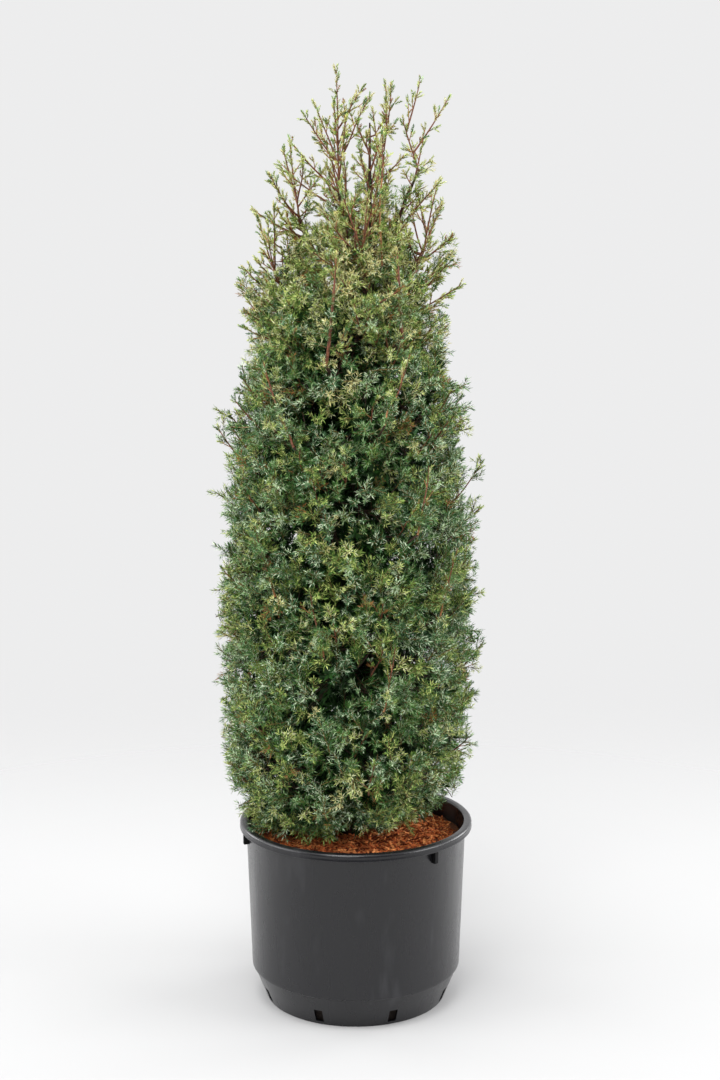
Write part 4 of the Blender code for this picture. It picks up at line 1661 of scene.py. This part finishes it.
def build_bark(material):
    for node in sorted(n for n in nodes if n == "trunk" or n.startswith(("bough_", "leader_"))):
        longest, relief = TRUNK_BARK if node == "trunk" else LIMB_BARK
        bm = bmesh.new()
        bm.from_mesh(nodes[node].data)
        bmesh.ops.remove_doubles(bm, verts=bm.verts, dist=MERGE)
        for _ in range(BARK_ROUNDS):
            long_edges = [e for e in bm.edges if e.calc_length() > longest]
            if not long_edges:
                break
            bmesh.ops.subdivide_edges(bm, edges=long_edges, cuts=1, use_grid_fill=False)
            bmesh.ops.triangulate(bm, faces=[f for f in bm.faces if len(f.verts) > 3])
        inner = [v for v in bm.verts if not v.is_boundary]
        bmesh.ops.smooth_vert(bm, verts=inner, factor=BARK_SMOOTHING,
                              use_axis_x=True, use_axis_y=True, use_axis_z=True)
        bm.normal_update()
        line = None if node.startswith("bough_") else limb_line(node)
        for vert in bm.verts:
            if line is not None and vert.co.z > THIN_ABOVE:
                middle = at_height(line, vert.co.z)
                thin = THIN_SHARE * min(1.0, (vert.co.z - THIN_ABOVE) / THIN_FADE)
                vert.co.x += thin * (middle[0] - vert.co.x)
                vert.co.y += thin * (middle[1] - vert.co.y)
            grain = Vector([share * scale for share, scale in zip(vert.co, BARK_GRAIN)])
            vert.co += vert.normal * relief * noise.noise(grain)
        piece = bmesh_object(f"bark_{node}", bm)
        piece.data.shade_smooth()
        piece.data.materials.append(material)
        wear(piece, "bark", node)


# Mulch: an uneven bed and shredded chips on it

def chip_shape(rng):
    """A bent splinter of bark: a tapering box with ragged ends."""
    length = rng.uniform(*CHIP_LENGTH)
    width = rng.uniform(*CHIP_WIDTH)
    thick = rng.uniform(*CHIP_THICKNESS)
    vertices = []
    for s in CHIP_RINGS:
        narrow = 1.0 - CHIP_NARROWING * abs(s) ** CHIP_POWER + rng.uniform(*CHIP_RAGGED)
        bend = CHIP_BEND * length * (s * s) * rng.choice((-1, 1))
        for y, z in CHIP_CORNERS:
            x = s * length + rng.uniform(-1, 1) * CHIP_END_STRAY
            vertices.append((x, y * width * narrow + bend, z * thick * narrow))
    sides = len(CHIP_CORNERS)
    last = sides * (len(CHIP_RINGS) - 1)
    faces = [(0, 3, 2, 1), tuple(range(last, last + sides))]
    for ring in range(0, last, sides):
        for n in range(sides):
            a, b = ring + n, ring + (n + 1) % sides
            faces.append((a, b, b + sides, a + sides))
    return vertices, faces


def bed_height(x, y, top):
    """The height of the bed: flat in the middle, lower at the pot's wall, and lumpy."""
    slope = min(1.0, max(0.0, (math.hypot(x, y) - BED_FLAT) / BED_SLOPE)) ** BED_POWER
    coarse, fine = (noise.noise(Vector((x * scale, y * scale, layer)))
                    for scale, layer in (BED_COARSE, BED_FINE))
    return top - (top - BED_EDGE) * slope - BED_SINK + BED_LUMP * (coarse + BED_FINE_SHARE * fine)


def build_bed(reach, top):
    """The bed as rings of quads round a middle corner."""
    vertices = [(0.0, 0.0, bed_height(0, 0, top))]
    for r in range(1, BED_RINGS + 1):
        for a in range(BED_AROUND):
            t = math.tau * a / BED_AROUND
            x, y = reach * r / BED_RINGS * math.cos(t), reach * r / BED_RINGS * math.sin(t)
            vertices.append((x, y, bed_height(x, y, top)))
    faces = [(0, 1 + a, 1 + (a + 1) % BED_AROUND) for a in range(BED_AROUND)]
    for r in range(BED_RINGS - 1):
        for a in range(BED_AROUND):
            first = 1 + r * BED_AROUND
            p, q = first + a, first + (a + 1) % BED_AROUND
            faces.append((p, p + BED_AROUND, q + BED_AROUND, q))
    bed = mesh_object("mulch_bed", vertices, faces, mulch_material("mulch_bed", BED_COLOUR))
    wear(bed, "bark_mulch", "bark_mulch")


def build_mulch(tree):
    _, (corner, _, top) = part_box("bark_mulch")
    reach = corner - BED_CLEARANCE
    build_bed(reach, top)
    rng = np.random.default_rng(SEED + 3)
    chips = shape_collection("chip", [chip_shape(rng) for _ in range(CHIP_KINDS)])
    for name, colour, share in CHIP_COLOURS:
        count = int(CHIP_COUNT * share)
        radius = (reach - CHIP_INSET) * np.sqrt(rng.random(count))
        turn = rng.uniform(0, math.tau, count)
        x, y = radius * np.cos(turn), radius * np.sin(turn)
        z = np.array([bed_height(px, py, top) for px, py in zip(x, y)]) + CHIP_LIFT
        tilt = [rng.normal(0, CHIP_TILT, count), rng.normal(0, CHIP_TILT, count)]
        along = unit(np.stack([*tilt, np.ones(count)], axis=1))
        facing = rng.uniform(0, math.tau, count)
        side = np.stack([np.cos(facing), np.sin(facing), np.zeros(count)], axis=1)
        size = rng.uniform(*CHIP_SIZE, count)
        piece = scatter(name, tree, chips, mulch_material(name, colour), np.stack([x, y, z], axis=1),
                        along, side, size, rng.integers(0, CHIP_KINDS, count))
        wear(piece, "bark_mulch")
    drop_collection(chips)


# Stage, light and camera

def build_world():
    """White to the camera. As light it is white too, but dim from the camera's side, as in a studio."""
    world = bpy.data.worlds.new("studio")
    world.use_nodes = True
    tree = world.node_tree
    place = tree.nodes.new("ShaderNodeTexCoord")
    facing = tree.nodes.new("ShaderNodeVectorMath")
    facing.operation = "DOT_PRODUCT"
    facing.inputs[1].default_value = (0.0, -1.0, 0.0)
    tree.links.new(place.outputs["Generated"], facing.inputs[0])
    stops = tuple(zip(STUDIO_TURN, (STUDIO_LIGHT, STUDIO_DIM)))
    light = ramp_node(tree, facing.outputs["Value"], stops)
    ray = tree.nodes.new("ShaderNodeLightPath")
    mix = tree.nodes.new("ShaderNodeMix")
    mix.data_type = "RGBA"
    tree.links.new(ray.outputs["Is Camera Ray"], mix.inputs["Factor"])
    tree.links.new(light, mix.inputs["A"])
    mix.inputs["B"].default_value = (*STUDIO_WALL, 1.0)
    tree.links.new(mix.outputs["Result"], tree.nodes["Background"].inputs["Color"])
    bpy.context.scene.world = world


def floor_material():
    """A pale floor that thins out with distance, so no horizon shows."""
    material, tree, shader = new_material("studio_floor", FLOOR_COLOUR, roughness=0.6, specular=0.2)
    place = tree.nodes.new("ShaderNodeTexCoord")
    distance = tree.nodes.new("ShaderNodeVectorMath")
    distance.operation = "LENGTH"
    tree.links.new(place.outputs["Object"], distance.inputs[0])
    thin = tree.nodes.new("ShaderNodeMapRange")
    thin.interpolation_type = "SMOOTHSTEP"
    thin.inputs["From Min"].default_value = FLOOR_FADE[0]
    thin.inputs["From Max"].default_value = FLOOR_FADE[1]
    tree.links.new(distance.outputs["Value"], thin.inputs["Value"])
    mix = tree.nodes.new("ShaderNodeMixShader")
    clear = tree.nodes.new("ShaderNodeBsdfTransparent")
    tree.links.new(thin.outputs["Result"], mix.inputs["Fac"])
    tree.links.new(shader.outputs["BSDF"], mix.inputs[1])
    tree.links.new(clear.outputs["BSDF"], mix.inputs[2])
    tree.links.new(mix.outputs["Shader"], tree.nodes["Material Output"].inputs["Surface"])
    return material


def build_stage():
    bpy.ops.mesh.primitive_plane_add(size=FLOOR_SIZE, location=(0, 0, 0))
    floor = bpy.context.object
    floor.name = "studio_floor"
    floor.data.materials.append(floor_material())
    build_world()
    for name, (place, target, size, power) in LIGHTS.items():
        light = bpy.data.lights.new(name, "AREA")
        light.size = size
        light.energy = power
        box = linked(name, light)
        box.location = place
        box.rotation_euler = (Vector(target) - Vector(place)).to_track_quat("-Z", "Y").to_euler()


def build_camera():
    data = bpy.data.cameras.new("camera")
    data.sensor_width = SENSOR_MM
    data.lens = FOCAL_PX / FRAME_HEIGHT_PX * SENSOR_MM
    camera = linked("camera", data)
    camera.location = CAMERA_PLACE
    camera.rotation_euler = (math.radians(90 - CAMERA_PITCH_DEG), 0, -math.radians(CAMERA_YAW_DEG))
    bpy.context.scene.camera = camera
    bpy.context.scene.view_settings.view_transform = "Standard"


foliage_nodes = sorted(n for n in nodes if n.startswith("foliage_"))
build_camera()
build_stage()
scatter_group = scatter_tree()
build_pot(pot_material())
build_mulch(scatter_group)
build_bark(bark_material())
root_ball = nodes["root_ball"].data
root_ball.materials.clear()
root_ball.materials.append(mulch_material("potting_mix", SOIL_COLOUR))
crown = grow_crown()
for piece in build_needles(crown, scatter_group):
    wear(piece, "foliage", *foliage_nodes)
for piece in build_twigs(crown):
    wear(piece, "bark")
